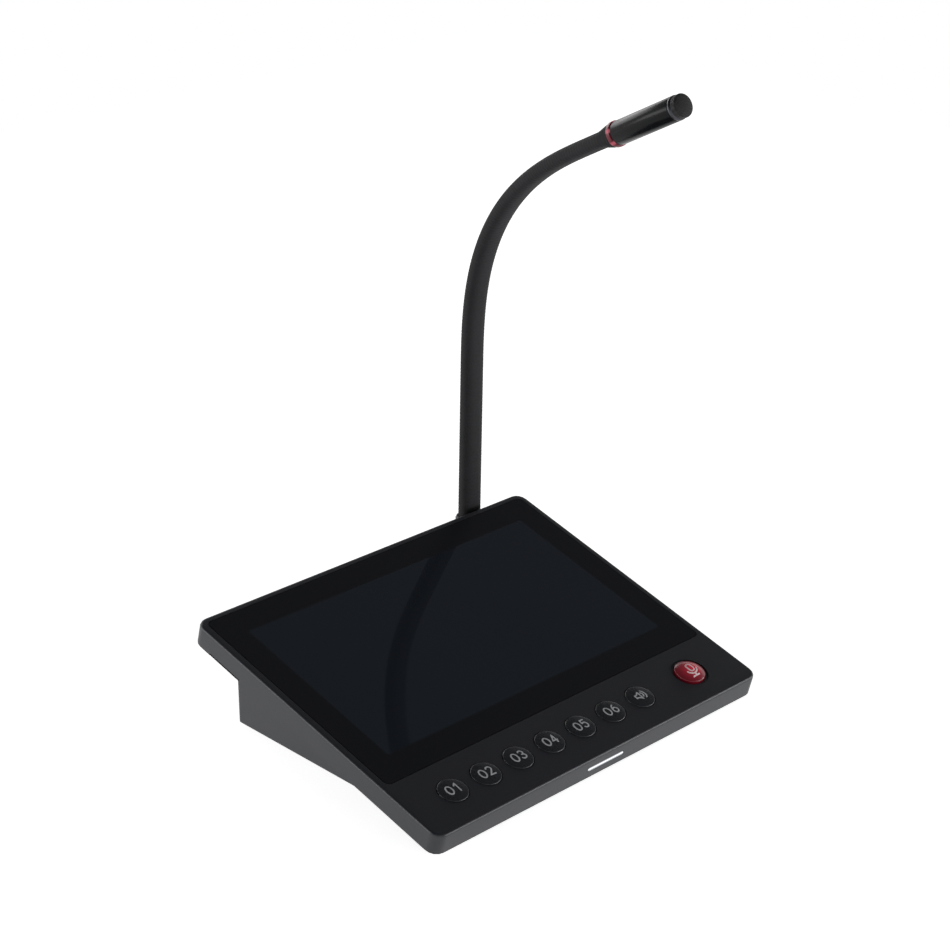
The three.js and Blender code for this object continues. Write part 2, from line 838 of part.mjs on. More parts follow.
// Wedge case: an open tray whose rim lies under the back plate, with a thin tongue on three sides that
// stands up inside the plate's mouth, and the hollow turret that carries the neck.
function wedgeCase() {
  const frontY = caseFrontGap;
  const rimAt = (y) => undersideAt(y) - seatGap / Math.cos(slabTilt);
  const outer = sidewaysPrism(
    [
      [frontY, footHeight],
      [caseDepth, footHeight],
      [caseDepth, rimAt(caseDepth)],
      [frontY, rimAt(frontY)],
    ],
    -caseHalfWidth,
    caseHalfWidth,
  );
  const corners = roundedPlate(
    -caseHalfWidth,
    caseHalfWidth,
    frontY - overrun,
    caseDepth,
    caseCornerRadius,
    0,
    mouthRise,
  );
  const wedge = outer.intersect(corners);
  const hollow = sidewaysPrism(
    [
      [noseFront, caseFloor],
      [rearWallInside, caseFloor],
      [rearWallInside, mouthRise],
      [noseFront, mouthRise],
    ],
    -caseHalfWidth + skinWall,
    caseHalfWidth - skinWall,
  );
  const tongueHalf = caseHalfWidth - skinWall / 2;
  const tongueFront = hollowFront + seatGap;
  const tongueRear = caseDepth - skinWall / 2;
  const tongueBlock = sidewaysPrism(
    [
      [tongueFront, undersideAt(tongueFront) - skinWall],
      [tongueRear, undersideAt(tongueRear) - skinWall],
      [tongueRear, undersideAt(tongueRear) + skinWall],
      [tongueFront, undersideAt(tongueFront) + skinWall],
    ],
    -tongueHalf,
    tongueHalf,
  );
  const turret = turretBlock(0, footHeight, turretTop);
  const turretHollow = turretBlock(skinWall, caseFloor, turretTop - skinWall);
  const shankHole = rod(
    neckX,
    neckY,
    shankRadius + seatGap,
    turretTop - skinWall - overrun,
    turretTop + overrun,
    roundSteps,
  );
  const ribs = Array.from({ length: ribCount }, (_, i) => {
    const x = ((i + 0.5) / ribCount - 0.5) * 2 * (caseHalfWidth - skinWall);
    return block(
      x - ribThickness / 2,
      x + ribThickness / 2,
      tongueFront,
      boardFront - ribBoardGap,
      caseFloor - overrun / 2,
      caseFloor + ribHeight,
    );
  });
  const standoffs = standoffPlaces.map(([x, y]) =>
    rod(x, y, standoffRadius, caseFloor - overrun / 2, boardFloor - seatGap),
  );
  const footSeats = footPlaces.map(([x, y]) =>
    rod(x, y, footRadius + seatGap, footHeight - overrun, footHeight + footSeatDepth, roundSteps),
  );
  const shell = cut(join(wedge, tongueBlock, turret), hollow, turretHollow, shankHole);
  const body = join(shell, ...ribs, ...standoffs);
  return cut(body, ...footSeats, ...socketHoles(), ...grilleSlots());
}

// Clearance holes and head seats for the four case screws, square to the slab.
function screwHoles() {
  return screwPlaces.flatMap(([x, y]) => [
    tilted(rod(x, y, screwRadius + seatGap, -slabHeight - overrun, -slabHeight + skinWall + overrun)),
    tilted(
      rod(x, y, screwHeadRadius + seatGap, -slabHeight - overrun, -slabHeight + screwHeadSeat),
    ),
  ]);
}

// Windows in the rear wall for the sockets, each a little larger than its socket.
function socketHoles() {
  const windowAt = (x, width, z, height) =>
    block(
      x - width / 2 - seatGap,
      x + width / 2 + seatGap,
      rearWallInside - overrun,
      caseDepth + overrun,
      z - seatGap,
      z + height + seatGap,
    );
  return [
    windowAt(networkX, networkWidth, socketBase, networkHeight),
    windowAt(powerX, powerWidth, socketBase, powerHeight),
    windowAt(dataX, dataWidth, socketBase, dataHeight),
    lyingRod(
      headsetX,
      socketBase + headsetHeight / 2,
      headsetNoseRadius + seatGap,
      rearWallInside - overrun,
      caseDepth + overrun,
    ),
  ];
}

// Upright slots whose lengths follow a circle, in front of the loudspeaker.
function grilleSlots() {
  const middle = (grilleSlotCount - 1) / 2;
  const centreZ = caseFloor + speakerRise;
  return Array.from({ length: grilleSlotCount }, (_, i) => {
    const offset = (i - middle) * coneRadius * grillePitchShare;
    const half = Math.sqrt(coneRadius ** 2 - offset ** 2);
    const x = speakerX + offset;
    return block(
      x - grilleSlotWidth / 2,
      x + grilleSlotWidth / 2,
      rearWallInside - overrun,
      caseDepth + overrun,
      centreZ - half,
      centreZ + half,
    );
  });
}

addPart(unit, "back_plate", backPlate(), finishes.housing);
addPart(unit, "wedge_case", wedgeCase(), finishes.housing);

// Rubber feet: shallow discs, pressed into their seats in the floor of the case.
const footNames = ["foot_left_front", "foot_left_rear", "foot_right_front", "foot_right_rear"];
footPlaces.forEach(([x, y], i) => {
  const top = footHeight + footSeatDepth - seatGap;
  const bevel = footHeight / 3;
  const foot = turned([
    [0, 0],
    [footRadius - bevel, 0],
    [footRadius, bevel],
    [footRadius, top],
    [0, top],
  ]);
  addPart(unit, footNames[i], foot, finishes.rubber).position.set(x, y, 0);
});

// Case screws: cheese heads with a straight slot, driven up into the posts.
function caseScrew() {
  const seat = -slabHeight + screwHeadSeat - seatGap;
  const head = seat - screwHeadHeight + seatGap;
  const tip = -ledgeUnder - 2 * seatGap;
  const shape = solid(
    turned(
      [
        [0, head],
        [screwHeadRadius, head],
        [screwHeadRadius, seat],
        [screwRadius, seat],
        [screwRadius, tip - screwRadius],
        [0, tip],
      ],
      smallRoundSteps,
    ),
  );
  const slot = block(
    -screwHeadRadius,
    screwHeadRadius,
    -screwSlotWidth / 2,
    screwSlotWidth / 2,
    head - overrun,
    head + screwSlotDepth,
  );
  return cut(shape, slot);
}

const screwNames = ["screw_left_front", "screw_right_front", "screw_left_rear", "screw_right_rear"];
screwPlaces.forEach(([x, y], i) => {
  addPart(slab, screwNames[i], caseScrew(), finishes.steel).position.set(x, y, 0);
});

// Main board with its processor and two upright capacitors.
function mainBoard() {
  const board = block(boardLeft, boardRight, boardFront, boardRear, boardFloor, boardTop);
  const chipX = alongBoard(chipPlaceShare);
  const chipY = boardFront + boardDepth / 3;
  const chip = block(
    chipX - chipSize / 2,
    chipX + chipSize / 2,
    chipY - chipSize / 2,
    chipY + chipSize / 2,
    boardTop - boardThickness / 2,
    boardTop + chipHeight,
  );
  const capacitors = [1, 2].map((place) =>
    rod(
      alongBoard(powerPartPlaceShare * place),
      boardFront + boardDepth / 2,
      powerPartRadius,
      boardTop - boardThickness / 2,
      boardTop + powerPartHeight,
    ),
  );
  return join(board, chip, ...capacitors);
}

addPart(unit, "main_board", mainBoard(), finishes.board);

// Sockets stand on the board, their mouths flush with the rear wall.
function networkSocket() {
  const y1 = caseDepth;
  const half = networkWidth / 2;
  const portHalf = networkPortWidth / 2;
  const portBase = socketBase + networkTopWall + networkLatchHeight;
  const top = socketBase + networkHeight;
  const body = block(networkX - half, networkX + half, y1 - networkLength, y1, socketBase, top);
  const port = block(
    networkX - portHalf,
    networkX + portHalf,
    y1 - networkPortDepth,
    y1 + overrun,
    portBase,
    portBase + networkPortHeight,
  );
  const latch = block(
    networkX - networkLatchWidth / 2,
    networkX + networkLatchWidth / 2,
    y1 - networkPortDepth,
    y1 + overrun,
    portBase - networkLatchHeight,
    portBase + overrun,
  );
  return cut(body, port, latch);
}

function powerSocket() {
  const y1 = caseDepth;
  const half = powerWidth / 2;
  const centreZ = socketBase + powerHeight / 2;
  const top = socketBase + powerHeight;
  const body = block(powerX - half, powerX + half, y1 - powerLength, y1, socketBase, top);
  const bore = lyingRod(powerX, centreZ, powerBoreRadius, y1 - powerBoreDepth, y1 + overrun);
  const pin = lyingRod(powerX, centreZ, powerPinRadius, y1 - powerBoreDepth - overrun, y1 - overrun);
  return join(cut(body, bore), pin);
}

function dataSocket() {
  const y1 = caseDepth;
  const half = dataWidth / 2;
  const top = socketBase + dataHeight;
  const body = block(dataX - half, dataX + half, y1 - dataLength, y1, socketBase, top);
  const port = block(
    dataX - half + dataWall,
    dataX + half - dataWall,
    y1 - dataPortDepth,
    y1 + overrun,
    socketBase + dataWall,
    top - dataWall,
  );
  const tongue = block(
    dataX - half + 2 * dataWall,
    dataX + half - 2 * dataWall,
    y1 - dataPortDepth - overrun,
    y1 - overrun,
    socketBase + dataHeight / 2,
    socketBase + dataHeight / 2 + dataTongueThickness,
  );
  return join(cut(body, port), tongue);
}

function headsetSocket() {
  const y1 = caseDepth;
  const rear = y1 - headsetNoseLength;
  const half = headsetWidth / 2;
  const centreZ = socketBase + headsetHeight / 2;
  const body = block(
    headsetX - half,
    headsetX + half,
    rear - headsetLength,
    rear - seatGap,
    socketBase,
    socketBase + headsetHeight,
  );
  const nose = lyingRod(headsetX, centreZ, headsetNoseRadius, rear - overrun, y1);
  const bore = lyingRod(headsetX, centreZ, headsetBoreRadius, y1 - headsetBoreDepth, y1 + overrun);
  return cut(join(body, nose), bore);
}

addPart(unit, "network_socket", networkSocket(), finishes.socket);
addPart(unit, "power_socket", powerSocket(), finishes.socket);
addPart(unit, "data_socket", dataSocket(), finishes.steel);
addPart(unit, "headset_socket", headsetSocket(), finishes.socket);

// Loudspeaker: pressed frame with its magnet, and the paper cone that lies in the frame's mouth.
// Drawn with its mouth towards +Z, then turned to face the rear wall.
function speakerFrame() {
  const lip = speakerRimThickness;
  const basketEnd = -speakerBasketDepth;
  const magnetEnd = basketEnd - speakerMagnetDepth;
  const innerRim = coneRadius + seatGap;
  return turned([
    [0, magnetEnd],
    [speakerMagnetRadius, magnetEnd],
    [speakerMagnetRadius, basketEnd],
    [speakerBasketRadius, -lip],
    [speakerRadius, -lip],
    [speakerRadius, 0],
    [innerRim, 0],
    [innerRim, -coneThickness - seatGap],
    [innerRim - lip, -coneThickness - seatGap],
    [coneNeckRadius + seatGap, -coneDepth - coneThickness - seatGap],
    [0, -coneDepth - coneThickness - seatGap],
  ]);
}

function speakerCone() {
  return turned([
    [0, -coneDepth - coneThickness],
    [coneNeckRadius - coneThickness, -coneDepth - coneThickness],
    [coneRadius - speakerRimThickness - coneThickness, -coneThickness],
    [coneRadius, -coneThickness],
    [coneRadius, 0],
    [coneRadius - speakerRimThickness, 0],
    [coneNeckRadius, -coneDepth + coneThickness],
    [0, -coneDepth + 2 * coneThickness],
  ]);
}

const speakerMount = new THREE.Group();
speakerMount.position.set(speakerX, rearWallInside - seatGap, caseFloor + speakerRise);
speakerMount.rotation.x = -Math.PI / 2;
unit.add(speakerMount);
addPart(speakerMount, "speaker_frame", speakerFrame(), finishes.steel);
addPart(speakerMount, "speaker_cone", speakerCone(), finishes.paper);

// Neck mount: everything from here on turns with the neck's small heading about the vertical.
const neckMount = new THREE.Group();
neckMount.position.set(neckX, neckY, 0);
neckMount.rotation.z = degToRad(neckTurnDegrees);
unit.add(neckMount);

// Ferrule: an oval cup for the neck's foot, with a round shank through the turret's top.
function neckFerrule() {
  const pocketFloor = ferruleTop - ferrulePocket;
  const outside = solid(
    loft([
      ovalRing(ferruleHalfWidth, ferruleHalfDepth, ferruleBase),
      ovalRing(ferruleHalfWidth, ferruleHalfDepth, ferruleTop - ferruleEdge),
      ovalRing(ferruleHalfWidth - ferruleEdge / 2, ferruleHalfDepth - ferruleEdge / 2, ferruleTop),
    ]),
  );
  const pocket = solid(
    loft([
      ovalRing(neckHalfWidth + seatGap, neckHalfDepth + seatGap, pocketFloor),
      ovalRing(neckHalfWidth + seatGap, neckHalfDepth + seatGap, ferruleTop + overrun),
    ]),
  );
  const shank = rod(0, 0, shankRadius, ferruleBase - shankLength, ferruleBase + overrun, roundSteps);
  const wireBore = rod(0, 0, wireBoreRadius, ferruleBase - shankLength - overrun, ferruleTop);
  return cut(join(outside, shank), pocket, wireBore);
}

addPart(neckMount, "neck_ferrule", neckFerrule(), finishes.head);

function neckNut() {
  const top = turretTop - skinWall - seatGap;
  const cornerRadius = nutAcross / Math.sqrt(3);
  const hexagon = new THREE.CylinderGeometry(cornerRadius, cornerRadius, nutThickness, 6);
  hexagon.rotateX(Math.PI / 2);
  hexagon.rotateZ(Math.PI / 6);
  hexagon.translate(0, 0, top - nutThickness / 2);
  const bore = rod(0, 0, shankRadius + seatGap, top - nutThickness - overrun, top + overrun, roundSteps);
  return cut(solid(hexagon), bore);
}

addPart(neckMount, "neck_nut", neckNut(), finishes.steel);

// The neck's centreline in its own upright plane: a straight foot that leans a little, then a bend
// whose rate of turn rises and falls smoothly, then a straight tail.
const lineSteps = 400;
const leanAtFoot = degToRad(neckLeanDegrees);
const leanAtHead = degToRad(neckBendDegrees);
const neckLine = [{ at: 0, forward: 0, up: ferruleTop, lean: leanAtFoot }];
for (let i = 1; i <= lineSteps; i += 1) {
  const step = neckLength / lineSteps;
  const at = i * step;
  const share = THREE.MathUtils.smoothstep(at, neckStraight, neckStraight + neckBendLength);
  const lean = THREE.MathUtils.lerp(leanAtFoot, leanAtHead, share);
  const before = neckLine[i - 1];
  const middle = (lean + before.lean) / 2;
  neckLine.push({
    at,
    forward: before.forward + step * Math.sin(middle),
    up: before.up + step * Math.cos(middle),
    lean,
  });
}

function neckFrame(at) {
  if (at < 0) return { forward: 0, up: ferruleTop + at, lean: 0 };
  const place = (at / neckLength) * lineSteps;
  const step = Math.min(Math.floor(place), lineSteps - 1);
  const low = neckLine[step];
  const high = neckLine[step + 1];
  const share = place - step;
  const between = (key) => THREE.MathUtils.lerp(low[key], high[key], share);
  return { forward: between("forward"), up: between("up"), lean: between("lean") };
}

// A group whose origin lies on the centreline with +Z along it and +Y to the rear of the bend.
function neckStation(at, parent, parentAt) {
  const here = neckFrame(at);
  const station = new THREE.Group();
  if (parentAt === undefined) {
    station.position.set(0, -here.forward, here.up);
    station.rotation.x = here.lean;
  } else {
    const base = neckFrame(parentAt);
    const away = new THREE.Vector3(0, -(here.forward - base.forward), here.up - base.up);
    away.applyAxisAngle(new THREE.Vector3(1, 0, 0), -base.lean);
    station.position.copy(away);
    station.rotation.x = here.lean - base.lean;
  }
  parent.add(station);
  return station;
}

// A stretch of neck from one arc length to another, drawn in the frame at origin. The ends can be
// domed, so that neighbours roll on each other, and the section can change from end to end.
function neckStretch(from, to, origin, { domeLow, domeHigh, sectionAt }) {
  const stations = [];
  const add = (at, shrinkShare) => stations.push({ at, shrinkShare });
  if (domeLow) domeShares.forEach((share, i) => add(from + linkDome * domeRiseShares[i], share));
  else add(from, 1);
  for (let i = 1; i < linkSteps; i += 1) add(THREE.MathUtils.lerp(from, to, i / linkSteps), 1);
  if (domeHigh) {
    const last = domeShares.length - 1;
    for (let i = last; i >= 0; i -= 1) add(to - linkDome * domeRiseShares[i], domeShares[i]);
  } else add(to, 1);
  const base = neckFrame(origin);
  const turnBack = new THREE.Matrix4().makeRotationX(-base.lean);
  const rings = stations.map(({ at, shrinkShare }) => {
    const { forward, up, lean } = neckFrame(at);
    const [a, b, powerShare] = sectionAt(at);
    const place = new THREE.Matrix4().makeRotationX(lean);
    place.setPosition(0, base.forward - forward, up - base.up);
    place.premultiply(turnBack);
    return ovalRing(a * shrinkShare, b * shrinkShare, 0, ovalSteps, powerShare).map((point) =>
      point.applyMatrix4(place),
    );
  });
  return loft(rings);
}

const plainSection = () => [neckHalfWidth, neckHalfDepth, ovalPowerShare];

// The fixed foot of the neck stands in the ferrule's pocket.
const footBottom = seatGap - ferrulePocket;
const foot = neckStretch(footBottom, firstLinkAt - linkGap / 2, footBottom, {
  domeLow: false,
  domeHigh: true,
  sectionAt: plainSection,
});
addPart(neckStation(footBottom, neckMount), "neck_foot", foot, finishes.neck);

// Links: each group's origin is the place where its link rocks on the one below.
let carrier = neckMount;
let carrierAt;
for (let i = 0; i < neckLinkCount; i += 1) {
  const at = firstLinkAt + i * linkPitch;
  carrier = neckStation(at, carrier, carrierAt);
  carrierAt = at;
  const number = String(i + 1).padStart(2, "0");
  const last = i === neckLinkCount - 1;
  const link = neckStretch(at + linkGap / 2, at + linkPitch - (last ? 0 : linkGap / 2), at, {
    domeLow: true,
    domeHigh: !last,
    sectionAt: plainSection,
  });
  if (!last) addPart(carrier, `neck_link_${number}`, link, finishes.neck);
  else addPart(carrier, `neck_link_${number}`, lastLink(at), finishes.neck);
}

// The last link runs on into the adapter, where the flat tube becomes round to meet the ring.
function lastLink(at) {
  const adapterStart = neckLength - adapterLength;
  const sectionAt = (place) => {
    const share = THREE.MathUtils.smoothstep(place, adapterStart, neckLength);
    return [
      THREE.MathUtils.lerp(neckHalfWidth, headRadius, share),
      THREE.MathUtils.lerp(neckHalfDepth, headRadius, share),
      THREE.MathUtils.lerp(ovalPowerShare, 1, share),
    ];
  };
  return neckStretch(at + linkGap / 2, neckLength - seatGap, at, {
    domeLow: true,
    domeHigh: false,
    sectionAt,
  });
}

// Head: everything below is turned about the neck's end direction.
const head = neckStation(neckLength, carrier, carrierAt);

// Signal ring: a clear red collar, slightly proud of the tube.
const ringTool = turned([
  [0, 0],
  [ringRadius - ringEdge, 0],
  [ringRadius, ringEdge],
  [ringRadius, ringWidth - ringEdge],
  [ringRadius - ringEdge, ringWidth],
  [0, ringWidth],
]);
const ringBore = rod(0, 0, headPlugRadius + seatGap, -overrun, ringWidth + overrun, roundSteps);
addPart(head, "signal_ring", cut(solid(ringTool), ringBore), finishes.ring);

// Head tube: drawn thin-walled, with a spigot through the ring towards the neck.
function headTube() {
  const z0 = ringWidth + seatGap;
  const outside = rod(0, 0, headRadius, z0, z0 + headLength, roundSteps);
  const mouth = z0 + headLength;
  const inside = rod(0, 0, headRadius - headWall, z0 + headPlugLength, mouth + overrun, roundSteps);
  const spigot = rod(0, 0, headPlugRadius, 0, z0 + overrun, roundSteps);
  const wireBore = rod(0, 0, wireBoreRadius, -overrun, z0 + headPlugLength + overrun);
  return cut(join(outside, spigot), inside, wireBore);
}

addPart(head, "head_tube", headTube(), finishes.head);

// Bright rim: a bevelled collar on the tube's mouth.
const rimBase = ringWidth + seatGap + headLength + seatGap;
const headRim = turned([
  [0, rimBase],
  [headRadius, rimBase],
  [headRadius, rimBase + rimWidth - rimChamfer],
  [headRadius - rimChamfer, rimBase + rimWidth],
  [0, rimBase + rimWidth],
]);
const rimMouth = rod(
  0,
  0,
  collarRadius - headWall,
  rimBase - overrun,
  rimBase + rimWidth + overrun,
  roundSteps,
);
addPart(head, "head_rim", cut(solid(headRim), rimMouth), finishes.rim);

// Wire mesh cap: a thin domed cup, open towards the tube.
function headMesh() {
  const base = rimBase + rimWidth + seatGap;
  const top = base + meshLength;
  const inner = meshRadius - meshWall;
  const profile = [
    [0, top - meshWall + meshCrown],
    [inner / 2, top - meshWall + (meshCrown * 3) / 4],
    [inner, top - meshWall - meshCrown / 2],
    [inner, base],
    [meshRadius, base],
    [meshRadius, top - meshCrown],
    [meshRadius - meshCrown / 2, top],
    [meshRadius / 2, top + (meshCrown * 3) / 4],
    [0, top + meshCrown],
  ];
  return turned(profile);
}

addPart(head, "head_mesh", headMesh(), finishes.mesh);

// Microphone capsule, a small can held by a rubber collar inside the tube's mouth.
const capsuleTop = rimBase - capsuleSetback;
addPart(
  head,
  "capsule",
  rod(0, 0, capsuleRadius, capsuleTop - capsuleLength, capsuleTop, roundSteps),
  finishes.steel,
);
const collarTop = capsuleTop - capsuleHolderReach;
const collarEnd = collarTop - capsuleHolderLength;
addPart(
  head,
  "capsule_collar",
  cut(
    rod(0, 0, collarRadius, collarEnd, collarTop, roundSteps),
    rod(0, 0, capsuleRadius + seatGap, collarEnd - overrun, collarTop + overrun, roundSteps),
  ),
  finishes.rubber,
);

// The origin is the middle of the base: under the centre of the whole outline, on the table.
const outline = new THREE.Box3().setFromObject(pagingMicrophone, true);
unit.position.y = -(outline.min.y + outline.max.y) / 2;
unit.position.z = -outline.min.z;

export default pagingMicrophone;
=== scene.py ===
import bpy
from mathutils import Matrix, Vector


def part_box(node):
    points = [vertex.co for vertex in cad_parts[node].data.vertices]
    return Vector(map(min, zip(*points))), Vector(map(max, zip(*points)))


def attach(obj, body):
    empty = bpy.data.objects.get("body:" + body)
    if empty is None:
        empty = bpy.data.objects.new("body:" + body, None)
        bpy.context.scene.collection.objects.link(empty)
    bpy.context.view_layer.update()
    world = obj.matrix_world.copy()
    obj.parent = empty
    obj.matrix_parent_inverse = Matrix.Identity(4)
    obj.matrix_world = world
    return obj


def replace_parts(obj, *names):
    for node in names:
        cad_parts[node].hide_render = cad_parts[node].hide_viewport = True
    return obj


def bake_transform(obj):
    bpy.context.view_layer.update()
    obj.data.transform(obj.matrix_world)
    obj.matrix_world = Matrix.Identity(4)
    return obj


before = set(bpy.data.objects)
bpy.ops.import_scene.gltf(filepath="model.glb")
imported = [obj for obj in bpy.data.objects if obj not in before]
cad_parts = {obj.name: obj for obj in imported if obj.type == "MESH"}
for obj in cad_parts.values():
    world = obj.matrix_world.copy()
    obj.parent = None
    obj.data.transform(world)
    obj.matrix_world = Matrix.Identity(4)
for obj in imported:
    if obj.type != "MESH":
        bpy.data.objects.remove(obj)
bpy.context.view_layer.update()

from math import atan, ceil, cos, degrees, pi, radians, sin

import bpy
import numpy as np
from mathutils import Matrix, Vector

# Slab: the tilted upper body with all the controls. Its own frame has X to the right, Y up its
# slope from the front edge and Z out of its top face, and is found from the cover glass, which
# lies flush in that face. Lengths are in millimetres times MM, and the scene is in metres.
MM = 0.001
TILT = radians(15)
GLASS_FRONT = 32.0 * MM
GLASS_REAR = 143.3 * MM
glass_low, glass_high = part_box("cover_glass")
slab_front = glass_low.y - GLASS_FRONT * cos(TILT)
slab_origin = Vector((0, slab_front, glass_high.z - GLASS_REAR * sin(TILT)))
slab = Matrix.Translation(slab_origin) @ Matrix.Rotation(TILT, 4, "X")

# Camera: a long lens at the left front, looking down at the slab. Its place and angle were solved
# from the slab's edges and the evenly spaced keys in the photograph.
AIM_UP_THE_SLAB = 73.15 * MM
CAMERA_OFFSET = Vector((-597.57, -612.27, 447.81)) * MM
CAMERA_HEADING = radians(44.088)
CAMERA_DIP = radians(23.423)
CAMERA_LENS = 89.33
camera = bpy.data.objects.new("camera", bpy.data.cameras.new("camera"))
camera.data.lens = CAMERA_LENS
camera.location = slab @ Vector((0, AIM_UP_THE_SLAB, 0)) + CAMERA_OFFSET
camera.rotation_euler = (pi / 2 - CAMERA_DIP, 0, -CAMERA_HEADING)
bpy.context.scene.collection.objects.link(camera)
bpy.context.scene.camera = camera
bpy.context.scene.view_settings.view_transform = "Standard"

# Studio: a white sweep under a dark ceiling. Low light all round falls on the sides and the top
# face stays dark. The camera sees white, and gloss and glass see the sweep as far up as it
# reaches. Both fades go by a ray's height, which is the sine of its elevation.
LIGHT_FADE = {"From Min": 0.02, "From Max": 0.5, "To Min": 0.65, "To Max": 0.11}
SWEEP_FADE = {"From Min": 0.28, "From Max": 0.4, "To Min": 1.0, "To Max": 0.0}


def add(tree, kind, inputs=None, **settings):
    """Adds one shader node, sets its properties, and sets or links each named input."""
    made = tree.nodes.new("ShaderNode" + kind)
    for key, value in settings.items():
        setattr(made, key, value)
    for key, value in (inputs or {}).items():
        if isinstance(value, bpy.types.NodeSocket):
            tree.links.new(value, made.inputs[key])
        else:
            made.inputs[key].default_value = value
    return made


def mirrored_rays(tree):
    """1 for rays that come off gloss or through glass, else 0."""
    path = add(tree, "LightPath").outputs
    pair = {0: path["Is Glossy Ray"], 1: path["Is Transmission Ray"]}
    return add(tree, "Math", pair, operation="MAXIMUM").outputs[0]


world = bpy.data.worlds.new("studio")
world.use_nodes = True
tree = world.node_tree
tree.nodes.clear()
height = add(tree, "SeparateXYZ", {0: add(tree, "TexCoord").outputs["Generated"]}).outputs["Z"]
level = add(tree, "MapRange", {"Value": height, **LIGHT_FADE}, interpolation_type="SMOOTHSTEP")
sweep = add(tree, "MapRange", {"Value": height, **SWEEP_FADE}, interpolation_type="SMOOTHSTEP")
on_sweep = add(tree, "Math", {0: mirrored_rays(tree), 1: sweep.outputs[0]}, operation="MULTIPLY")
seen = add(tree, "LightPath").outputs["Is Camera Ray"]
white = add(tree, "Math", {0: seen, 1: on_sweep.outputs[0]}, operation="MAXIMUM")
light = add(tree, "Background", {"Color": level.outputs[0]})
backdrop = add(tree, "Background", {"Color": (1, 1, 1, 1)})
mix = add(tree, "MixShader", {0: white.outputs[0], 1: light.outputs[0], 2: backdrop.outputs[0]})
add(tree, "OutputWorld", {"Surface": mix.outputs[0]})
bpy.context.scene.world = world

# Table: a sheet of white opal acrylic, lit from below as on a product photographer's table. It
# shows white, a little less so where the console shades it, and throws an even light upwards.
TABLE_LIGHT = 0.75
TABLE_GLOW = 0.82
TABLE_HALF = 0.9
TABLE_DROP = 0.05 * MM


def colour(hex_code):
    """A hex code in sRGB as the linear colour that shader sockets take. The standard's formula is
    a power of the shifted share of full light, and for the darkest shades a plain division."""
    shares = np.array([int(hex_code[i : i + 2], 16) for i in (1, 3, 5)]) / 255
    linear = np.where(shares <= 0.04045, shares / 12.92, ((shares + 0.055) / 1.055) ** 2.4)
    return (*linear, 1.0)


def material(name, surface):
    """A new material whose surface is the shader socket that the given function returns."""
    made = bpy.data.materials.new(name)
    made.use_nodes = True
    made.node_tree.nodes.clear()
    add(made.node_tree, "OutputMaterial", {"Surface": surface(made.node_tree)})
    return made


def add_object(name, vertices, faces, made, smooth=True):
    """Links a new mesh object, made of vertices in metres and each face's vertex numbers."""
    mesh = bpy.data.meshes.new(name)
    mesh.from_pydata(np.asarray(vertices).tolist(), [], faces)
    mesh.update()
    mesh.polygons.foreach_set("use_smooth", np.full(len(mesh.polygons), smooth))
    mesh.materials.append(made)
    piece = bpy.data.objects.new(name, mesh)
    bpy.context.scene.collection.objects.link(piece)
    return piece


def lit_opal_sheet(tree):
    """Glow plus plain reflection for camera, gloss and glass, and an even glow for the rest."""
    seen = add(tree, "LightPath").outputs["Is Camera Ray"]
    shown = add(tree, "Math", {0: seen, 1: mirrored_rays(tree)}, operation="MAXIMUM").outputs[0]
    even = add(tree, "Emission", {"Color": (1, 1, 1, 1), "Strength": TABLE_LIGHT})
    glow = add(tree, "Emission", {"Color": (1, 1, 1, 1), "Strength": TABLE_GLOW})
    sheet = add(tree, "BsdfDiffuse", {"Color": colour("#f5f5f5")})
    visible = add(tree, "AddShader", {0: glow.outputs[0], 1: sheet.outputs[0]})
    return add(tree, "MixShader", {0: shown, 1: even.outputs[0], 2: visible.outputs[0]}).outputs[0]


table_corners = np.array([(-1, -1), (1, -1), (1, 1), (-1, 1)]) * TABLE_HALF
table_points = np.column_stack([table_corners, np.full(4, -TABLE_DROP)])
opal_sheet = material("white opal acrylic, lit from below", lit_opal_sheet)
add_object("table", table_points, [(0, 1, 2, 3)], opal_sheet)

# Softboxes: one low at the right front lights the front wall, one low at the left rear lights the
# left wall and the wedge, and a strip high behind draws the bright band along the microphone. Each
# has its place, its width and height in metres, and its power in watts.
SOFTBOXES = {
    "right front softbox": ((1.0, -1.2, 0.3), (1.5, 0.45), 14.0),
    "left rear softbox": ((-1.3, 0.8, 0.3), (1.5, 0.45), 10.0),
    "rear strip": ((0.27, 1.47, 0.62), (1.2, 0.45), 4.6),
}
LAMP_AIM = Vector((0, 0, 0.1))
for name, (place, size, watts) in SOFTBOXES.items():
    lamp = bpy.data.objects.new(name, bpy.data.lights.new(name, "AREA"))
    lamp.data.shape = "RECTANGLE"
    lamp.data.size, lamp.data.size_y = size
    lamp.data.energy = watts
    lamp.location = place
    lamp.rotation_euler = (LAMP_AIM - lamp.location).to_track_quat("-Z", "Y").to_euler()
    bpy.context.scene.collection.objects.link(lamp)

# Housing: the slab's upper shell and the wedge case with the neck's turret, injection moulded in
# black polycarbonate and ABS. The mould is spark-eroded, which gives a fine even grain and a satin
# look. The grain is drawn coarser than the real one, or it wouldn't show.
CRISP_ANGLE = radians(35)
WELD_DISTANCE = 0.002 * MM
UNEVENNESS = 0.03
NOISE_DETAIL = 2.0
# Nearly all of the noise lies within this range.
NOISE_RANGE = {"From Min": 0.3, "From Max": 0.7}


def read(items, key, width=1, kind=np.int32):
    """One property of all the items of a mesh as an array."""
    values = np.empty(len(items) * width, kind)
    items.foreach_get(key, values)
    return values.reshape(-1, width) if width > 1 else values


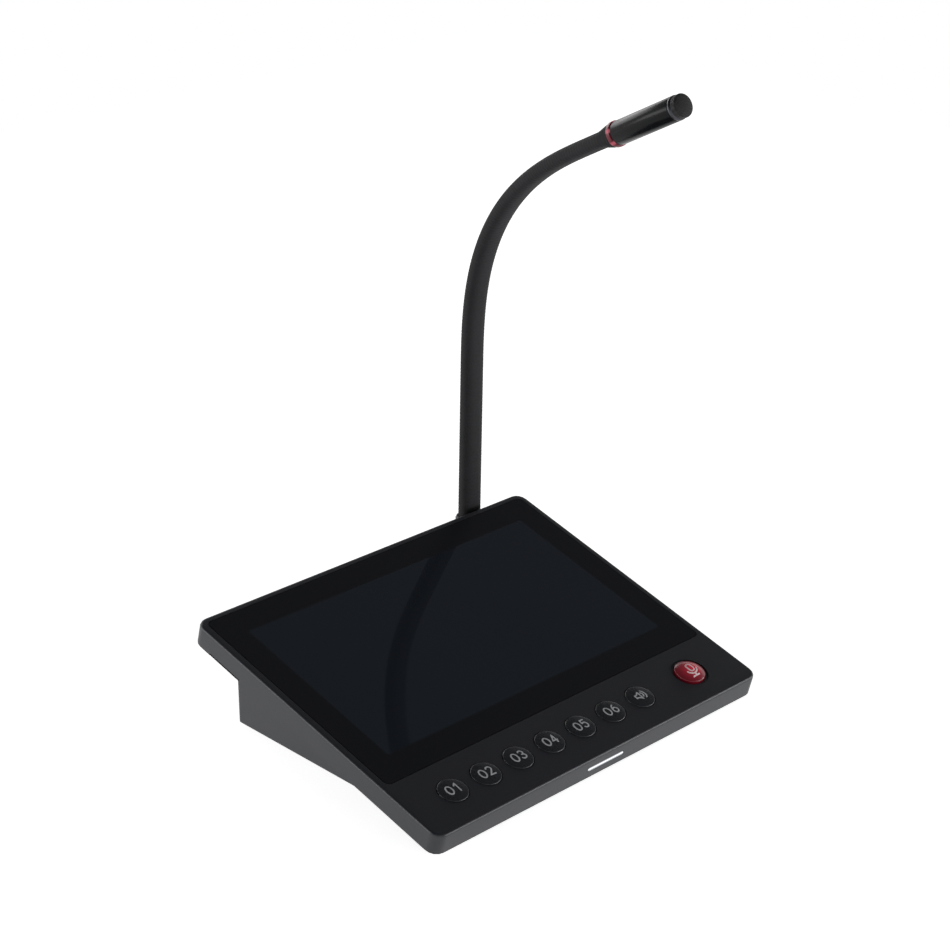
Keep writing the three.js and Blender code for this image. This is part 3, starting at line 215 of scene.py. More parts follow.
def shade_smoothly(part):
    """Shades a part of the frame smoothly without moving a vertex. Vertices at one place count as
    one point, so each pair of neighbouring points is an edge of two faces. An edge is crisp where
    the dot product of its two faces' normals is less than the cosine of the crisp angle."""
    mesh = part.data
    places = np.round(read(mesh.vertices, "co", 3, np.float32) / WELD_DISTANCE).astype(np.int64)
    _, point = np.unique(places, axis=0, return_inverse=True)
    pairs = np.sort(point.ravel()[read(mesh.edges, "vertices", 2)], axis=1)
    _, shared = np.unique(pairs, axis=0, return_inverse=True)
    shared = shared.ravel()
    sizes = read(mesh.polygons, "loop_total")
    face_of_loop = np.repeat(np.arange(len(sizes)), sizes)
    edge_of_loop = shared[read(mesh.loops, "edge_index")]
    order = np.argsort(edge_of_loop, kind="stable")
    count = np.bincount(edge_of_loop, minlength=shared.max() + 1)
    first = np.concatenate([[0], np.cumsum(count)[:-1]])
    normals = read(mesh.polygon_normals, "vector", 3, np.float32)
    two = count == 2
    left = normals[face_of_loop[order[first[two]]]]
    right = normals[face_of_loop[order[first[two] + 1]]]
    crisp = np.ones(len(count), bool)
    crisp[two] = np.sum(left * right, axis=1) < cos(CRISP_ANGLE)
    flags = mesh.attributes.get("sharp_edge")
    flags = flags or mesh.attributes.new("sharp_edge", "BOOLEAN", "EDGE")
    flags.data.foreach_set("value", crisp[shared])
    mesh.polygons.foreach_set("use_smooth", np.full(len(mesh.polygons), True))
    part.modifiers.new("weld", "WELD").merge_threshold = WELD_DISTANCE
    part.modifiers.new("weighted normals", "WEIGHTED_NORMAL").keep_sharp = True


def dress(made, *nodes):
    """Gives parts of the frame a material through their objects' own slots, and smooth edges."""
    for name in nodes:
        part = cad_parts[name]
        for slot in part.material_slots:
            slot.link = "OBJECT"
            slot.material = made
        shade_smoothly(part)


def grained(base, roughness, grain, depth, metallic=0.0, **more):
    """A function that makes one shader: noise of the grain's size raises a bump of the given depth
    and moves the roughness evenly to both sides of its value."""

    def surface(tree):
        place = add(tree, "TexCoord").outputs["Object"]
        inputs = {"Vector": place, "Scale": 1 / grain, "Detail": NOISE_DETAIL}
        noise = add(tree, "TexNoise", inputs).outputs["Fac"]
        limits = {"To Min": roughness - UNEVENNESS, "To Max": roughness + UNEVENNESS}
        uneven = add(tree, "MapRange", {"Value": noise, **NOISE_RANGE, **limits}).outputs[0]
        inputs = {
            "Base Color": colour(base),
            "Metallic": metallic,
            "Roughness": uneven,
            "Normal": add(tree, "Bump", {"Height": noise, "Distance": depth}).outputs["Normal"],
        }
        inputs.update({key.replace("_", " "): value for key, value in more.items()})
        return add(tree, "BsdfPrincipled", inputs).outputs[0]

    return surface


satin_black = grained("#1e2026", 0.42, grain=0.35 * MM, depth=0.012 * MM)
dress(material("spark-eroded black polycarbonate", satin_black), "upper_housing", "wedge_case")

# Feet: four discs of moulded rubber, pressed into round seats under the wedge. The rubber is dull
# and slightly pitted.
pitted_rubber = grained("#232325", 0.85, grain=0.5 * MM, depth=0.02 * MM)
dress(
    material("moulded foot rubber", pitted_rubber),
    "foot_left_front",
    "foot_left_rear",
    "foot_right_front",
    "foot_right_rear",
)

# Circuit boards: glass fibre laminate under a printed green solder mask, which is smooth and
# faintly wavy over the copper. The main board lies in the wedge and the key board under the keys.
solder_mask = grained("#17412a", 0.42, grain=1.5 * MM, depth=0.02 * MM)
dress(material("green solder mask on laminate", solder_mask), "main_board", "key_board")

# Sockets for network, power and headset: bodies of moulded, glass-filled nylon, soldered to the
# main board and reaching into the rear wall. The fibres leave them matt and finely mottled.
mottled_nylon = grained("#121214", 0.55, grain=0.3 * MM, depth=0.01 * MM)
dress(
    material("glass-filled nylon", mottled_nylon),
    "network_socket",
    "power_socket",
    "headset_socket",
)

# Data socket: a shell of drawn and nickel plated steel with its contact tongue, soldered to the
# main board. The plating is bright, with a soft bloom from the drawing.
bright_plating = grained("#a3a29d", 0.28, grain=2.0 * MM, depth=0.003 * MM, metallic=1.0)
dress(material("nickel plated steel shell", bright_plating), "data_socket")

# Loudspeaker: a pressed steel basket, zinc plated, behind the grille slots of the rear wall. It
# holds a cone of pressed paper pulp, whose fibres show as a fine felt.
zinc_plating = grained("#8f9195", 0.32, grain=0.8 * MM, depth=0.006 * MM, metallic=1.0)
zinc_steel = material("zinc plated steel", zinc_plating)
dress(zinc_steel, "speaker_frame")
felted_pulp = grained("#1d1c1b", 0.9, grain=0.4 * MM, depth=0.05 * MM)
dress(material("pressed paper pulp", felted_pulp), "speaker_cone")

# Back plate: the moulded sheet of plain ABS that closes the slab from below. It is duller and
# darker than the shell, and a thin tab reaches out on each side under the shell's notch. Its
# darkness is partly painted shade, so that the tab shows as the dark shadow line of the gap under
# the notch. Four zinc plated screws hold plate, shell and wedge together.
dull_black_and_shade = grained("#0d0d0e", 0.8, grain=0.5 * MM, depth=0.012 * MM, Specular_IOR_Level=0.1)
dress(material("dull black ABS with painted shade", dull_black_and_shade), "back_plate")
dress(zinc_steel, "screw_left_front", "screw_right_front", "screw_left_rear", "screw_right_rear")

# Key mat: one sheet of silicone, compression moulded, with a springy collar under each key. It
# lies between the keys and their board, and is dull and smooth.
soft_silicone = grained("#242426", 0.7, grain=1.0 * MM, depth=0.006 * MM)
silicone = material("moulded silicone", soft_silicone)
dress(silicone, "key_mat")

# Display module: a steel tray with a polarising sheet on top, bonded behind the glass. The sheet
# is smooth, glossy and nearly black, and only its edge could be seen.
polariser = grained("#15181c", 0.2, grain=4.0 * MM, depth=0.002 * MM)
dress(material("polarising sheet", polariser), "screen_module")

# Cover glass: one sheet of tempered glass, bonded into the shell. The black ink that is screen
# printed on its back shows as a dull border. Inside it the unlit display shows as a slightly
# lighter, bluish field, in which the neck is mirrored.
DISPLAY_HALF = 77.1 * MM
DISPLAY_FRONT = 44.8 * MM
DISPLAY_REAR = 130.7 * MM
DISPLAY_SOFTNESS = 0.5 * MM


def in_frame(tree, matrix):
    """Object coordinates in the frame that a matrix describes: turned and moved by its inverse."""
    place = add(tree, "TexCoord").outputs["Object"]
    back = matrix.inverted()
    inputs = {"Vector": place, "Location": back.to_translation(), "Rotation": back.to_euler()}
    return add(tree, "SeparateXYZ", {0: add(tree, "Mapping", inputs).outputs[0]}).outputs


def within(tree, value, low, high, soft):
    """1 well between two limits and 0 well outside them: the product of a smooth step up about the
    low limit and one down about the high limit."""
    shares = []
    for edge, sign in ((low, 1), (high, -1)):
        inputs = {"Value": value, "From Min": edge - sign * soft, "From Max": edge + sign * soft}
        shares.append(add(tree, "MapRange", inputs, interpolation_type="SMOOTHSTEP").outputs[0])
    return add(tree, "Math", {0: shares[0], 1: shares[1]}, operation="MULTIPLY").outputs[0]


def backed_glass(tree):
    """Ink and display as two shaders, told apart by a rectangle in the slab's frame."""
    axes = in_frame(tree, slab)
    across = within(tree, axes["X"], -DISPLAY_HALF, DISPLAY_HALF, DISPLAY_SOFTNESS)
    along = within(tree, axes["Y"], DISPLAY_FRONT, DISPLAY_REAR, DISPLAY_SOFTNESS)
    field = add(tree, "Math", {0: across, 1: along}, operation="MULTIPLY").outputs[0]
    ink = {"Base Color": colour("#1c1d20"), "Roughness": 0.3, "Specular IOR Level": 0.1}
    display = {
        "Base Color": colour("#1f2329"),
        "Roughness": 0.03,
        "Specular IOR Level": 0.5,
        "Specular Tint": colour("#b4cdec"),
    }
    shaders = [add(tree, "BsdfPrincipled", inputs).outputs[0] for inputs in (ink, display)]
    return add(tree, "MixShader", {0: field, 1: shaders[0], 2: shaders[1]}).outputs[0]


dress(material("tempered glass over screen printed ink", backed_glass), "cover_glass")

# Light bar: moulded opal acrylic with a flange behind the front wall, lit by a row of diodes. The
# line in front of the diodes shows white and the bar's upper and lower edges are greyer.
LIT_HALF = 0.45 * MM
LIT_SOFTNESS = 0.35 * MM
bar_low, bar_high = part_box("light_bar")
bar_level = (slab.inverted() @ ((bar_low + bar_high) / 2)).z


def lit_opal(tree):
    """Glow that is white at the bar's middle height and fades smoothly above and below it."""
    axes = in_frame(tree, slab)
    lit = within(tree, axes["Z"], bar_level - LIT_HALF, bar_level + LIT_HALF, LIT_SOFTNESS)
    tones = {"Color1": colour("#3c3f44"), "Color2": colour("#fbfdff")}
    glow = add(tree, "MixRGB", {"Fac": lit, **tones})
    inputs = {
        "Base Color": colour("#8d9094"),
        "Roughness": 0.3,
        "Emission Color": glow.outputs[0],
        "Emission Strength": 0.9,
    }
    return add(tree, "BsdfPrincipled", inputs).outputs[0]


dress(material("moulded opal acrylic, lit", lit_opal), "light_bar")

# Keys: six number keys, a call key and a larger talk key, moulded in polycarbonate. Each has a
# polished dome, a flange that keeps it in, and a stem that presses the mat. The sweep shows in the
# black domes' rounded edges. The talk key is translucent red, with a painted glow that is lightest
# at its middle and painted shade that darkens it towards its side.
KEY_ROW = 16.6 * MM
KEY_EDGE = 0.5 * MM
FLANGE_TOP = -2.5 * MM
FLANGE_BOTTOM = -3.5 * MM
FLANGE_REACH = 1.1 * MM
STEM_RADIUS = 2.0 * MM
STEM_END = -5.1 * MM
PLAIN_KEY = {"radius": 6.247 * MM, "proud": 0.4 * MM, "crown": 0.6 * MM}
TALK_KEY = {"radius": 6.596 * MM, "proud": 0.7 * MM, "crown": 2.1 * MM}
PLAIN_KEYS = [f"number_key_{i}" for i in range(1, 7)] + ["call_key"]
DOME_STEPS = 13
EDGE_STEPS = 6
LATHE_STEPS = 96
CREASE_ANGLE = radians(40)


def arc(centre, radius, start, end, steps=8):
    """Points of an arc as (x, y) pairs: the centre plus the radius times the cosine and the sine
    of an angle in degrees. The radius is one number, or one for each axis."""
    turn = np.radians(np.linspace(start, end, steps + 1))
    wide, high = np.broadcast_to(radius, 2)
    return np.column_stack([centre[0] + wide * np.cos(turn), centre[1] + high * np.sin(turn)])


def key_edge(radius, proud, crown):
    """The rounded edge of a key, from upright up to the slope at which the dome begins, which is
    twice the dome's rise over its reach."""
    slope = degrees(atan(2 * crown / (radius - KEY_EDGE)))
    return arc((radius - KEY_EDGE, proud - KEY_EDGE), KEY_EDGE, 0, 90 - slope, EDGE_STEPS)


def dome_height(key, distance):
    """Height of a key's dome above the slab: the top less a term in the distance squared, so that
    the dome meets the rounded edge."""
    rim, rise = key_edge(**key)[-1]
    top = key["proud"] + key["crown"]
    return top - (top - rise) * (distance / rim) ** 2


def key_profile(key):
    """The key's outline from the stem's end over flange and side to the top of the dome."""
    radius = key["radius"]
    flange = radius + FLANGE_REACH
    lower = [(0, STEM_END), (STEM_RADIUS, STEM_END), (STEM_RADIUS, FLANGE_BOTTOM)]
    lower += [(flange, FLANGE_BOTTOM), (flange, FLANGE_TOP), (radius, FLANGE_TOP)]
    edge = key_edge(**key)
    reach = edge[-1, 0] * np.linspace(1, 0, DOME_STEPS + 1)[1:]
    return np.vstack([lower, edge, np.column_stack([reach, dome_height(key, reach)])])


def ring_faces(rows, columns, closed=False):
    """Quads between a grid's neighbouring rows. Its columns, and if closed its rows, join up."""
    row = np.arange(rows if closed else rows - 1)[:, None] * columns
    above = (row + columns) % (rows * columns)
    column = np.arange(columns)
    beside = (column + 1) % columns
    corners = [row + column, row + beside, above + beside, above + column]
    return np.stack(corners, axis=-1).reshape(-1, 4)


def placed(points, matrix):
    """All the points taken from the frame of the matrix to the object's: turned, then moved."""
    solid = np.array(matrix)
    return points @ solid[:3, :3].T + solid[:3, 3]


def round_steps(wanted):
    return wanted


def turned(name, profile, place, made, body, replaced, closed=False):
    """A lathe form: x = r cos t, y = r sin t and z = h for each (r, h) of the profile and each
    angle t, then set in place. A closed profile is a ring's section. An open one starts and ends
    on the axis, where its first and last points are single poles with a fan of triangles."""
    profile = np.asarray(profile, float)
    rings = profile if closed else profile[1:-1]
    turn = np.linspace(0, 2 * pi, round_steps(LATHE_STEPS), endpoint=False)
    radius, height = rings[:, :1], rings[:, 1:]
    axes = np.broadcast_arrays(radius * np.cos(turn), radius * np.sin(turn), height)
    grid = np.stack(axes, axis=-1)
    rows, columns = grid.shape[:2]
    points = grid.reshape(-1, 3)
    faces = ring_faces(rows, columns, closed).tolist()
    if not closed:
        column = np.arange(columns)
        beside = (column + 1) % columns
        pole = np.full(columns, len(points))
        last = (rows - 1) * columns
        faces += np.column_stack([pole, beside, column]).tolist()
        faces += np.column_stack([pole + 1, last + column, last + beside]).tolist()
        points = np.vstack([points, [(0, 0, profile[0, 1]), (0, 0, profile[-1, 1])]])
    piece = add_object(name, placed(points, place), faces, made)
    piece.data.set_sharp_from_angle(angle=CREASE_ANGLE)
    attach(piece, body)
    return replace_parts(piece, replaced)


def key_place(node):
    """The frame of a key: its middle, on the slab's top face."""
    low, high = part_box(node)
    return slab @ Matrix.Translation(((low.x + high.x) / 2, KEY_ROW, 0))


def off_axis(tree, axes):
    """Distance from the Z axis: the length of a vector made of X and Y."""
    flat = add(tree, "CombineXYZ", {"X": axes["X"], "Y": axes["Y"]}).outputs[0]
    return add(tree, "VectorMath", {0: flat}, operation="LENGTH").outputs["Value"]


def glow_and_shade_keycap(tree):
    """Red with a painted glow that is lightest at its middle and painted shade that darkens it to
    the key's side, by a smooth step of the distance from its axis."""
    distance = off_axis(tree, in_frame(tree, key_place("talk_key")))
    inputs = {"Value": distance, "From Max": TALK_KEY["radius"], "To Min": 1.0, "To Max": 0.0}
    share = add(tree, "MapRange", inputs, interpolation_type="SMOOTHSTEP").outputs[0]
    # Painted glow and shade: the red is lightest and glows at the key's middle, and is darker
    # towards its side.
    tones = {"Color1": colour("#6c1220"), "Color2": colour("#d2364a")}
    tone = add(tree, "MixRGB", {"Fac": share, **tones})
    inputs = {
        "Base Color": tone.outputs[0],
        "Roughness": 0.25,
        "Emission Color": tone.outputs[0],
        "Emission Strength": 0.12,
    }
    return add(tree, "BsdfPrincipled", inputs).outputs[0]


polished_black = grained(
    "#25272b", 0.28, grain=2.0 * MM, depth=0.001 * MM, Specular_IOR_Level=0.35
)
black_caps = material("polished black polycarbonate", polished_black)
red_cap = material("translucent red polycarbonate with painted glow and shade", glow_and_shade_keycap)
plain_outline, talk_outline = key_profile(PLAIN_KEY), key_profile(TALK_KEY)
for node in PLAIN_KEYS:
    cap = turned(node + "_cap", plain_outline, key_place(node), black_caps, node + "_body", node)
talk_place = key_place("talk_key")
talk_cap = turned("talk_key_cap", talk_outline, talk_place, red_cap, "talk_key_body", "talk_key")

# Legends: thin strokes of ink, pad printed on the domes, matt and slightly grey. The keys are
# numbered plainly from 01 to 06. The call key shows a loudspeaker and the talk key a microphone.
STROKE_WIDTH = 0.62 * MM
STROKE_THICKNESS = 0.04 * MM
STROKE_STEP = 0.3 * MM
STROKE_DECIMALS = 9
MITRE_LIMIT = 0.6
END_ANGLES = [[85], [60], [30]]
DIGIT_SIZE = np.array([2.5, 4.3]) * MM
DIGIT_GAP = 1.3 * MM
# The strokes of each digit in a cell that is one wide and one high.
DIGITS = {
    0: [arc((0.5, 0.5), 0.5, 90, 450, 24)],
    1: [[(0.15, 0.74), (0.6, 1.0), (0.6, 0.0)]],
    2: [[*arc((0.5, 0.72), (0.46, 0.28), 160, -35), (0.0, 0.0), (1.0, 0.0)]],
    3: [arc((0.45, 0.75), (0.42, 0.25), 150, -90), arc((0.45, 0.26), (0.5, 0.26), 90, -150)],
    4: [[(1.0, 0.28), (0.0, 0.28), (0.72, 1.0), (0.72, 0.0)]],
    5: [[(0.9, 1.0), (0.16, 1.0), (0.1, 0.56), *arc((0.45, 0.32), (0.5, 0.32), 125, -145, 10)]],
    6: [arc((0.5, 0.3), (0.48, 0.3), 90, 450, 20), arc((0.94, 0.3), (0.92, 0.7), 180, 105)],
}
# The strokes of the two pictures, about the key's middle.
LOUDSPEAKER_SCALE = 1.0 * MM
HORN_BACK = [(-2.6, -0.8), (-2.6, 0.8), (-1.5, 0.8)]
HORN_MOUTH = [(-0.2, 2.0), (-0.2, -2.0), (-1.5, -0.8)]
LOUDSPEAKER = [
    [*HORN_BACK, *HORN_MOUTH, HORN_BACK[0]],
    arc((-0.2, 0), 1.5, -48, 48),
    arc((-0.2, 0), 2.8, -48, 48),
]
MICROPHONE_SCALE = 1.25 * MM
MICROPHONE_SHIFT = np.array([-0.6, -0.4]) * MM
MICROPHONE = [
    [*arc((0, 1.2), 0.95, 0, 180), *arc((0, -0.2), 0.95, 180, 360), (0.95, 1.2)],
    arc((0, -0.1), 2.0, 190, 350, 12),
    [(0, -2.1), (0, -3.0)],
    [(-1.3, -3.0), (1.3, -3.0)],
]


def even_points(points):
    """A polyline with points added at even steps of its length, so that it can follow the dome.
    Lengths are rounded to nanometres, which merges an added point that falls on a corner."""
    points = np.asarray(points, float)
    along = np.concatenate([[0], np.cumsum(np.linalg.norm(np.diff(points, axis=0), axis=1))])
    even = np.linspace(0, along[-1], ceil(along[-1] / STROKE_STEP) + 1)
    at = np.unique(np.round(np.concatenate([along, even]), STROKE_DECIMALS))
    return np.column_stack([np.interp(at, along, points[:, axis]) for axis in (0, 1)])


def stroke_ribbon(points):
    """Middle line and sideways offsets of a stroke. The offset is half the width along the
    bisector of two steps, divided by the cosine of half the bend. Rows of a half circle round off
    the two ends."""
    points = even_points(points)
    steps = np.diff(points, axis=0)
    steps /= np.linalg.norm(steps, axis=1)[:, None]
    closed = np.allclose(points[0], points[-1])
    before = np.vstack([steps[-1:] if closed else steps[:1], steps])
    after = np.vstack([steps, steps[:1] if closed else steps[-1:]])
    along = before + after
    along /= np.linalg.norm(along, axis=1)[:, None]
    side = np.column_stack([-along[:, 1], along[:, 0]])
    half_bend = np.maximum(np.sum(along * after, axis=1), MITRE_LIMIT)
    offset = side * (STROKE_WIDTH / 2 / half_bend)[:, None]
    if closed:
        return points, offset
    swell = np.radians(END_ANGLES)
    reach, spread = np.sin(swell) * STROKE_WIDTH / 2, np.cos(swell) * STROKE_WIDTH / 2
    start, end = points[0] - along[0] * reach, points[-1] + along[-1] * reach
    middle = np.vstack([start, points, end[::-1]])
    return middle, np.vstack([side[0] * spread, offset, (side[-1] * spread)[::-1]])


def legend(node, strokes, key, made):
    """Strokes laid on a key's dome. Each row of a stroke is a four-sided section: the two sides of
    the ribbon at the dome's height there, plus and minus the stroke's thickness."""
    points, faces, start = [], [], 0
    for stroke in strokes:
        middle, offset = stroke_ribbon(stroke)
        sides = [middle + offset, middle - offset, middle - offset, middle + offset]
        section = np.stack(sides, axis=1)
        lift = np.array([1, 1, -1, -1]) * STROKE_THICKNESS
        height = dome_height(key, np.linalg.norm(section, axis=-1)) + lift
        points.append(np.concatenate([section, height[..., None]], axis=-1).reshape(-1, 3))
        rows = len(section)
        ends = [[3, 2, 1, 0], [4 * rows - 4, 4 * rows - 3, 4 * rows - 2, 4 * rows - 1]]
        faces.append(np.vstack([ring_faces(rows, 4), ends]) + start)
        start += 4 * rows
    solid = placed(np.vstack(points), key_place(node))
    piece = add_object(node + "_legend", solid, np.vstack(faces).tolist(), made, smooth=False)
    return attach(piece, node + "_body")


def number_strokes(number):
    """Two digits side by side, centred on the key."""
    strokes = []
    for i, digit in enumerate(divmod(number, 10)):
        left = -DIGIT_SIZE[0] - DIGIT_GAP / 2 + i * (DIGIT_SIZE[0] + DIGIT_GAP)
        corner = np.array([left, -DIGIT_SIZE[1] / 2])
        strokes += [np.asarray(stroke) * DIGIT_SIZE + corner for stroke in DIGITS[digit]]
    return strokes


matt_grey = grained("#b9bbbe", 0.5, grain=0.4 * MM, depth=0.004 * MM)
grey_print = material("grey pad printing ink", matt_grey)
for number, node in enumerate(PLAIN_KEYS[:-1], 1):
    legend(node, number_strokes(number), PLAIN_KEY, grey_print)
loudspeaker = [np.asarray(stroke) * LOUDSPEAKER_SCALE for stroke in LOUDSPEAKER]
legend("call_key", loudspeaker, PLAIN_KEY, grey_print)
matt_pink = grained("#f0d6d8", 0.45, grain=0.4 * MM, depth=0.004 * MM)
microphone = [np.asarray(stroke) * MICROPHONE_SCALE + MICROPHONE_SHIFT for stroke in MICROPHONE]
legend("talk_key", microphone, TALK_KEY, material("pale pad printing ink", matt_pink))

# Ferrule: a flat oval cup on the turret that holds the neck's foot, die cast in zinc and painted
# black. A zinc plated nut under the turret's top pulls it down. The paint is satin over a slightly
# cast skin.
painted_casting = grained("#1b1c1e", 0.4, grain=0.7 * MM, depth=0.01 * MM)
dress(material("black paint on die cast zinc", painted_casting), "neck_ferrule")
dress(zinc_steel, "neck_nut")

# Gooseneck: a coiled steel core that keeps any bend it is given. Its line is the solid's: a
# straight foot that leans a little, a bend whose rate of turn rises and falls smoothly, and a
# straight tail, in an upright plane turned a little about the vertical.
NECK_TURN = radians(-2.4)
LEAN_AT_FOOT = radians(1.45)
LEAN_AT_HEAD = radians(62.5)
NECK_STRAIGHT = 70.2 * MM
NECK_BEND = 144.3 * MM
NECK_TAIL = 14.7 * MM
NECK_LENGTH = NECK_STRAIGHT + NECK_BEND + NECK_TAIL
NECK_STEPS = 2000
ferrule_low, ferrule_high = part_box("neck_ferrule")
neck_foot = (ferrule_low + ferrule_high) / 2
neck_foot.z = ferrule_high.z
neck_heading = Matrix.Translation(neck_foot) @ Matrix.Rotation(NECK_TURN, 4, "Z")


def smooth_step(share):
    """A share from 0 to 1 eased at both ends: three times its square less twice its cube."""
    return share**2 * (3 - 2 * share)


def neck_line():
    """Arc length, reach, rise and lean along the neck. The lean goes from foot to head by a smooth
    step of the way into the bend. Reach and rise are the running sums of its sine and cosine."""
    at = np.linspace(0, NECK_LENGTH, NECK_STEPS + 1)
    share = np.clip((at - NECK_STRAIGHT) / NECK_BEND, 0, 1)
    lean = LEAN_AT_FOOT + (LEAN_AT_HEAD - LEAN_AT_FOOT) * smooth_step(share)
    middle = (lean[1:] + lean[:-1]) / 2
    step = NECK_LENGTH / NECK_STEPS
    reach = np.concatenate([[0], np.cumsum(np.sin(middle) * step)])
    rise = np.concatenate([[0], np.cumsum(np.cos(middle) * step)])
    return at, reach, rise, lean


LINE = neck_line()


def neck_frame(at):
    """The matrix at one arc length: X across the tube, Y to the bend's outer side, Z along it."""
    reach, rise, lean = (np.interp(at, LINE[0], column) for column in LINE[1:])
    return neck_heading @ Matrix.Translation((0, -reach, rise)) @ Matrix.Rotation(lean, 4, "X")


# Sleeve: rubber extruded over the core in a flat oval, matt black with fine cross ribs. It is cut
# halfway between the hinges, in a groove between two ribs. Each length but the last spans one
# hinge and stays where it lies at rest. The last rides on the last link.
HALF_WIDTH = 5.5 * MM
HALF_DEPTH = 3.42 * MM
OVAL_POWER = 0.8
SECTION_STEPS = 48
ADAPTER_LENGTH = 7.0 * MM
HEAD_RADIUS = 5.0 * MM
FIRST_LINK = 11.0 * MM
LINKS = 12
LINK_PITCH = (NECK_LENGTH - FIRST_LINK - ADAPTER_LENGTH) / LINKS
JOINT_GAP = 0.3 * MM
FOOT_START = -4.6 * MM
RIBS_PER_LINK = 11
RIB_PITCH = LINK_PITCH / RIBS_PER_LINK
RIB_DEPTH = 0.06 * MM
STEPS_PER_RIB = 8
BLOOM_SIZE = 9.0 * MM
RUBBER_GRAIN = 0.3 * MM
RUBBER_GRAIN_DEPTH = 0.008 * MM


def sleeve_grid(start, end):
    """Rings of the sleeve between two arc lengths, each a flat oval set square to the neck's line:
    half width and half depth times the cosine and sine of an angle, both raised to a power. Over
    the adapter both go to the head's radius by a smooth step. The skin sinks by the cube of a wave
    that peaks between the ribs. Below the ferrule's rim the line goes straight down."""
    count = max(2, ceil((end - start) / RIB_PITCH * round_steps(STEPS_PER_RIB)))
    at = np.linspace(start, end, count + 1)[:, None]
    wave = (1 + np.cos(2 * pi * (at - FIRST_LINK + LINK_PITCH / 2) / RIB_PITCH)) / 2
    share = smooth_step(np.clip((at - NECK_LENGTH) / ADAPTER_LENGTH + 1, 0, 1))
    wide = HALF_WIDTH + (HEAD_RADIUS - HALF_WIDTH) * share - RIB_DEPTH * wave**3
    deep = HALF_DEPTH + (HEAD_RADIUS - HALF_DEPTH) * share - RIB_DEPTH * wave**3
    power = OVAL_POWER + (1 - OVAL_POWER) * share
    turn = np.linspace(0, 2 * pi, round_steps(SECTION_STEPS), endpoint=False)
    x = wide * np.sign(np.cos(turn)) * np.abs(np.cos(turn)) ** power
    y = deep * np.sign(np.sin(turn)) * np.abs(np.sin(turn)) ** power
    reach, rise, lean = (np.interp(at, LINE[0], column) for column in LINE[1:])
    back = y * np.cos(lean) - reach
    up = y * np.sin(lean) + rise + np.minimum(at, 0)
    return placed(np.stack([x, back, up], axis=-1), neck_heading)


def ribbed_rubber(tree):
    """Matt rubber with an uneven bloom and a fine grain, fixed to the sleeve's shape at rest."""
    place = add(tree, "Attribute", attribute_name="at_rest").outputs["Vector"]
    noise = {"Vector": place, "Detail": NOISE_DETAIL}
    bloom = add(tree, "TexNoise", {"Scale": 1 / BLOOM_SIZE, **noise})
    tones = {"Color1": colour("#1c1c1e"), "Color2": colour("#252528")}
    tone = add(tree, "MixRGB", {"Fac": bloom.outputs["Fac"], **tones})
    grain = add(tree, "TexNoise", {"Scale": 1 / RUBBER_GRAIN, **noise})
    bump = add(tree, "Bump", {"Height": grain.outputs["Fac"], "Distance": RUBBER_GRAIN_DEPTH})
    inputs = {
        "Base Color": tone.outputs[0],
        "Roughness": 0.75,
        "Specular IOR Level": 0.25,
        "Normal": bump.outputs["Normal"],
    }
    return add(tree, "BsdfPrincipled", inputs).outputs[0]


sleeve_rubber = material("extruded matt rubber", ribbed_rubber)


def sleeve(name, start, end, replaced):
    """One closed length of the sleeve, which stands for a link of the frame."""
    grid = sleeve_grid(start, end)
    rows, columns = grid.shape[:2]
    caps = [list(range(columns))[::-1], list(range((rows - 1) * columns, rows * columns))]
    faces = ring_faces(rows, columns).tolist() + caps
    piece = add_object(name, grid.reshape(-1, 3), faces, sleeve_rubber)
    piece.data.set_sharp_from_angle(angle=CREASE_ANGLE)
    at_rest = piece.data.attributes.new("at_rest", "FLOAT_VECTOR", "POINT")
    at_rest.data.foreach_set("vector", grid.ravel().astype(np.float32))
    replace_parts(piece, replaced)
    return piece


links = [f"neck_link_{i:02d}" for i in range(1, LINKS + 1)]
carriers = ["console"] + [link + "_body" for link in links]
replaced_links = ["neck_foot"] + links
hinges = FIRST_LINK + LINK_PITCH * np.arange(LINKS)
for i, hinge in enumerate(hinges):
    low, high = hinge - LINK_PITCH / 2, hinge + LINK_PITCH / 2
    length = sleeve(f"sleeve_{i + 1:02d}", low if i else FOOT_START, high, replaced_links[i])
    ends = [neck_frame(at).to_translation() for at in (low, high)]
    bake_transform(length)
last_length = sleeve("sleeve_end", hinges[-1] + LINK_PITCH / 2, NECK_LENGTH - JOINT_GAP, links[-1])
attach(last_length, carriers[-1])

# Signal ring: a collar of moulded, translucent red polycarbonate between neck and microphone, with
# six small diodes behind it. Each diode shows as a pinker spot in the dark red.
RING_RADIUS = 5.3 * MM
RING_BORE = 4.3 * MM
RING_WIDTH = 2.2 * MM
RING_EDGE = 0.4 * MM
RING_EDGE_STEPS = 5
DIODES = 6
DIODE_TURN = radians(20)
DIODE_EDGE = 0.3
head = neck_frame(NECK_LENGTH)
head_body = carriers[-1]


def ring_glow(tree):
    """Glow by a smooth step of a cosine, that of the number of diodes times the angle from the
    first of them. It peaks over each diode."""
    axes = in_frame(tree, head)
    angle = add(tree, "Math", {0: axes["Y"], 1: axes["X"]}, operation="ARCTAN2").outputs[0]
    offset = add(tree, "Math", {0: angle, 1: DIODE_TURN}, operation="ADD").outputs[0]
    phase = add(tree, "Math", {0: offset, 1: DIODES}, operation="MULTIPLY").outputs[0]
    wave = add(tree, "Math", {0: phase}, operation="COSINE").outputs[0]
    inputs = {"Value": wave, "From Min": DIODE_EDGE}
    spot = add(tree, "MapRange", inputs, interpolation_type="SMOOTHSTEP").outputs[0]
    tones = {"Color1": colour("#3c0d17"), "Color2": colour("#e77a8a")}
    glow = add(tree, "MixRGB", {"Fac": spot, **tones})
    inputs = {
        "Base Color": colour("#5e1523"),
        "Roughness": 0.3,
        "Specular IOR Level": 0.3,
        "Emission Color": glow.outputs[0],
        "Emission Strength": 0.4,
    }
    return add(tree, "BsdfPrincipled", inputs).outputs[0]


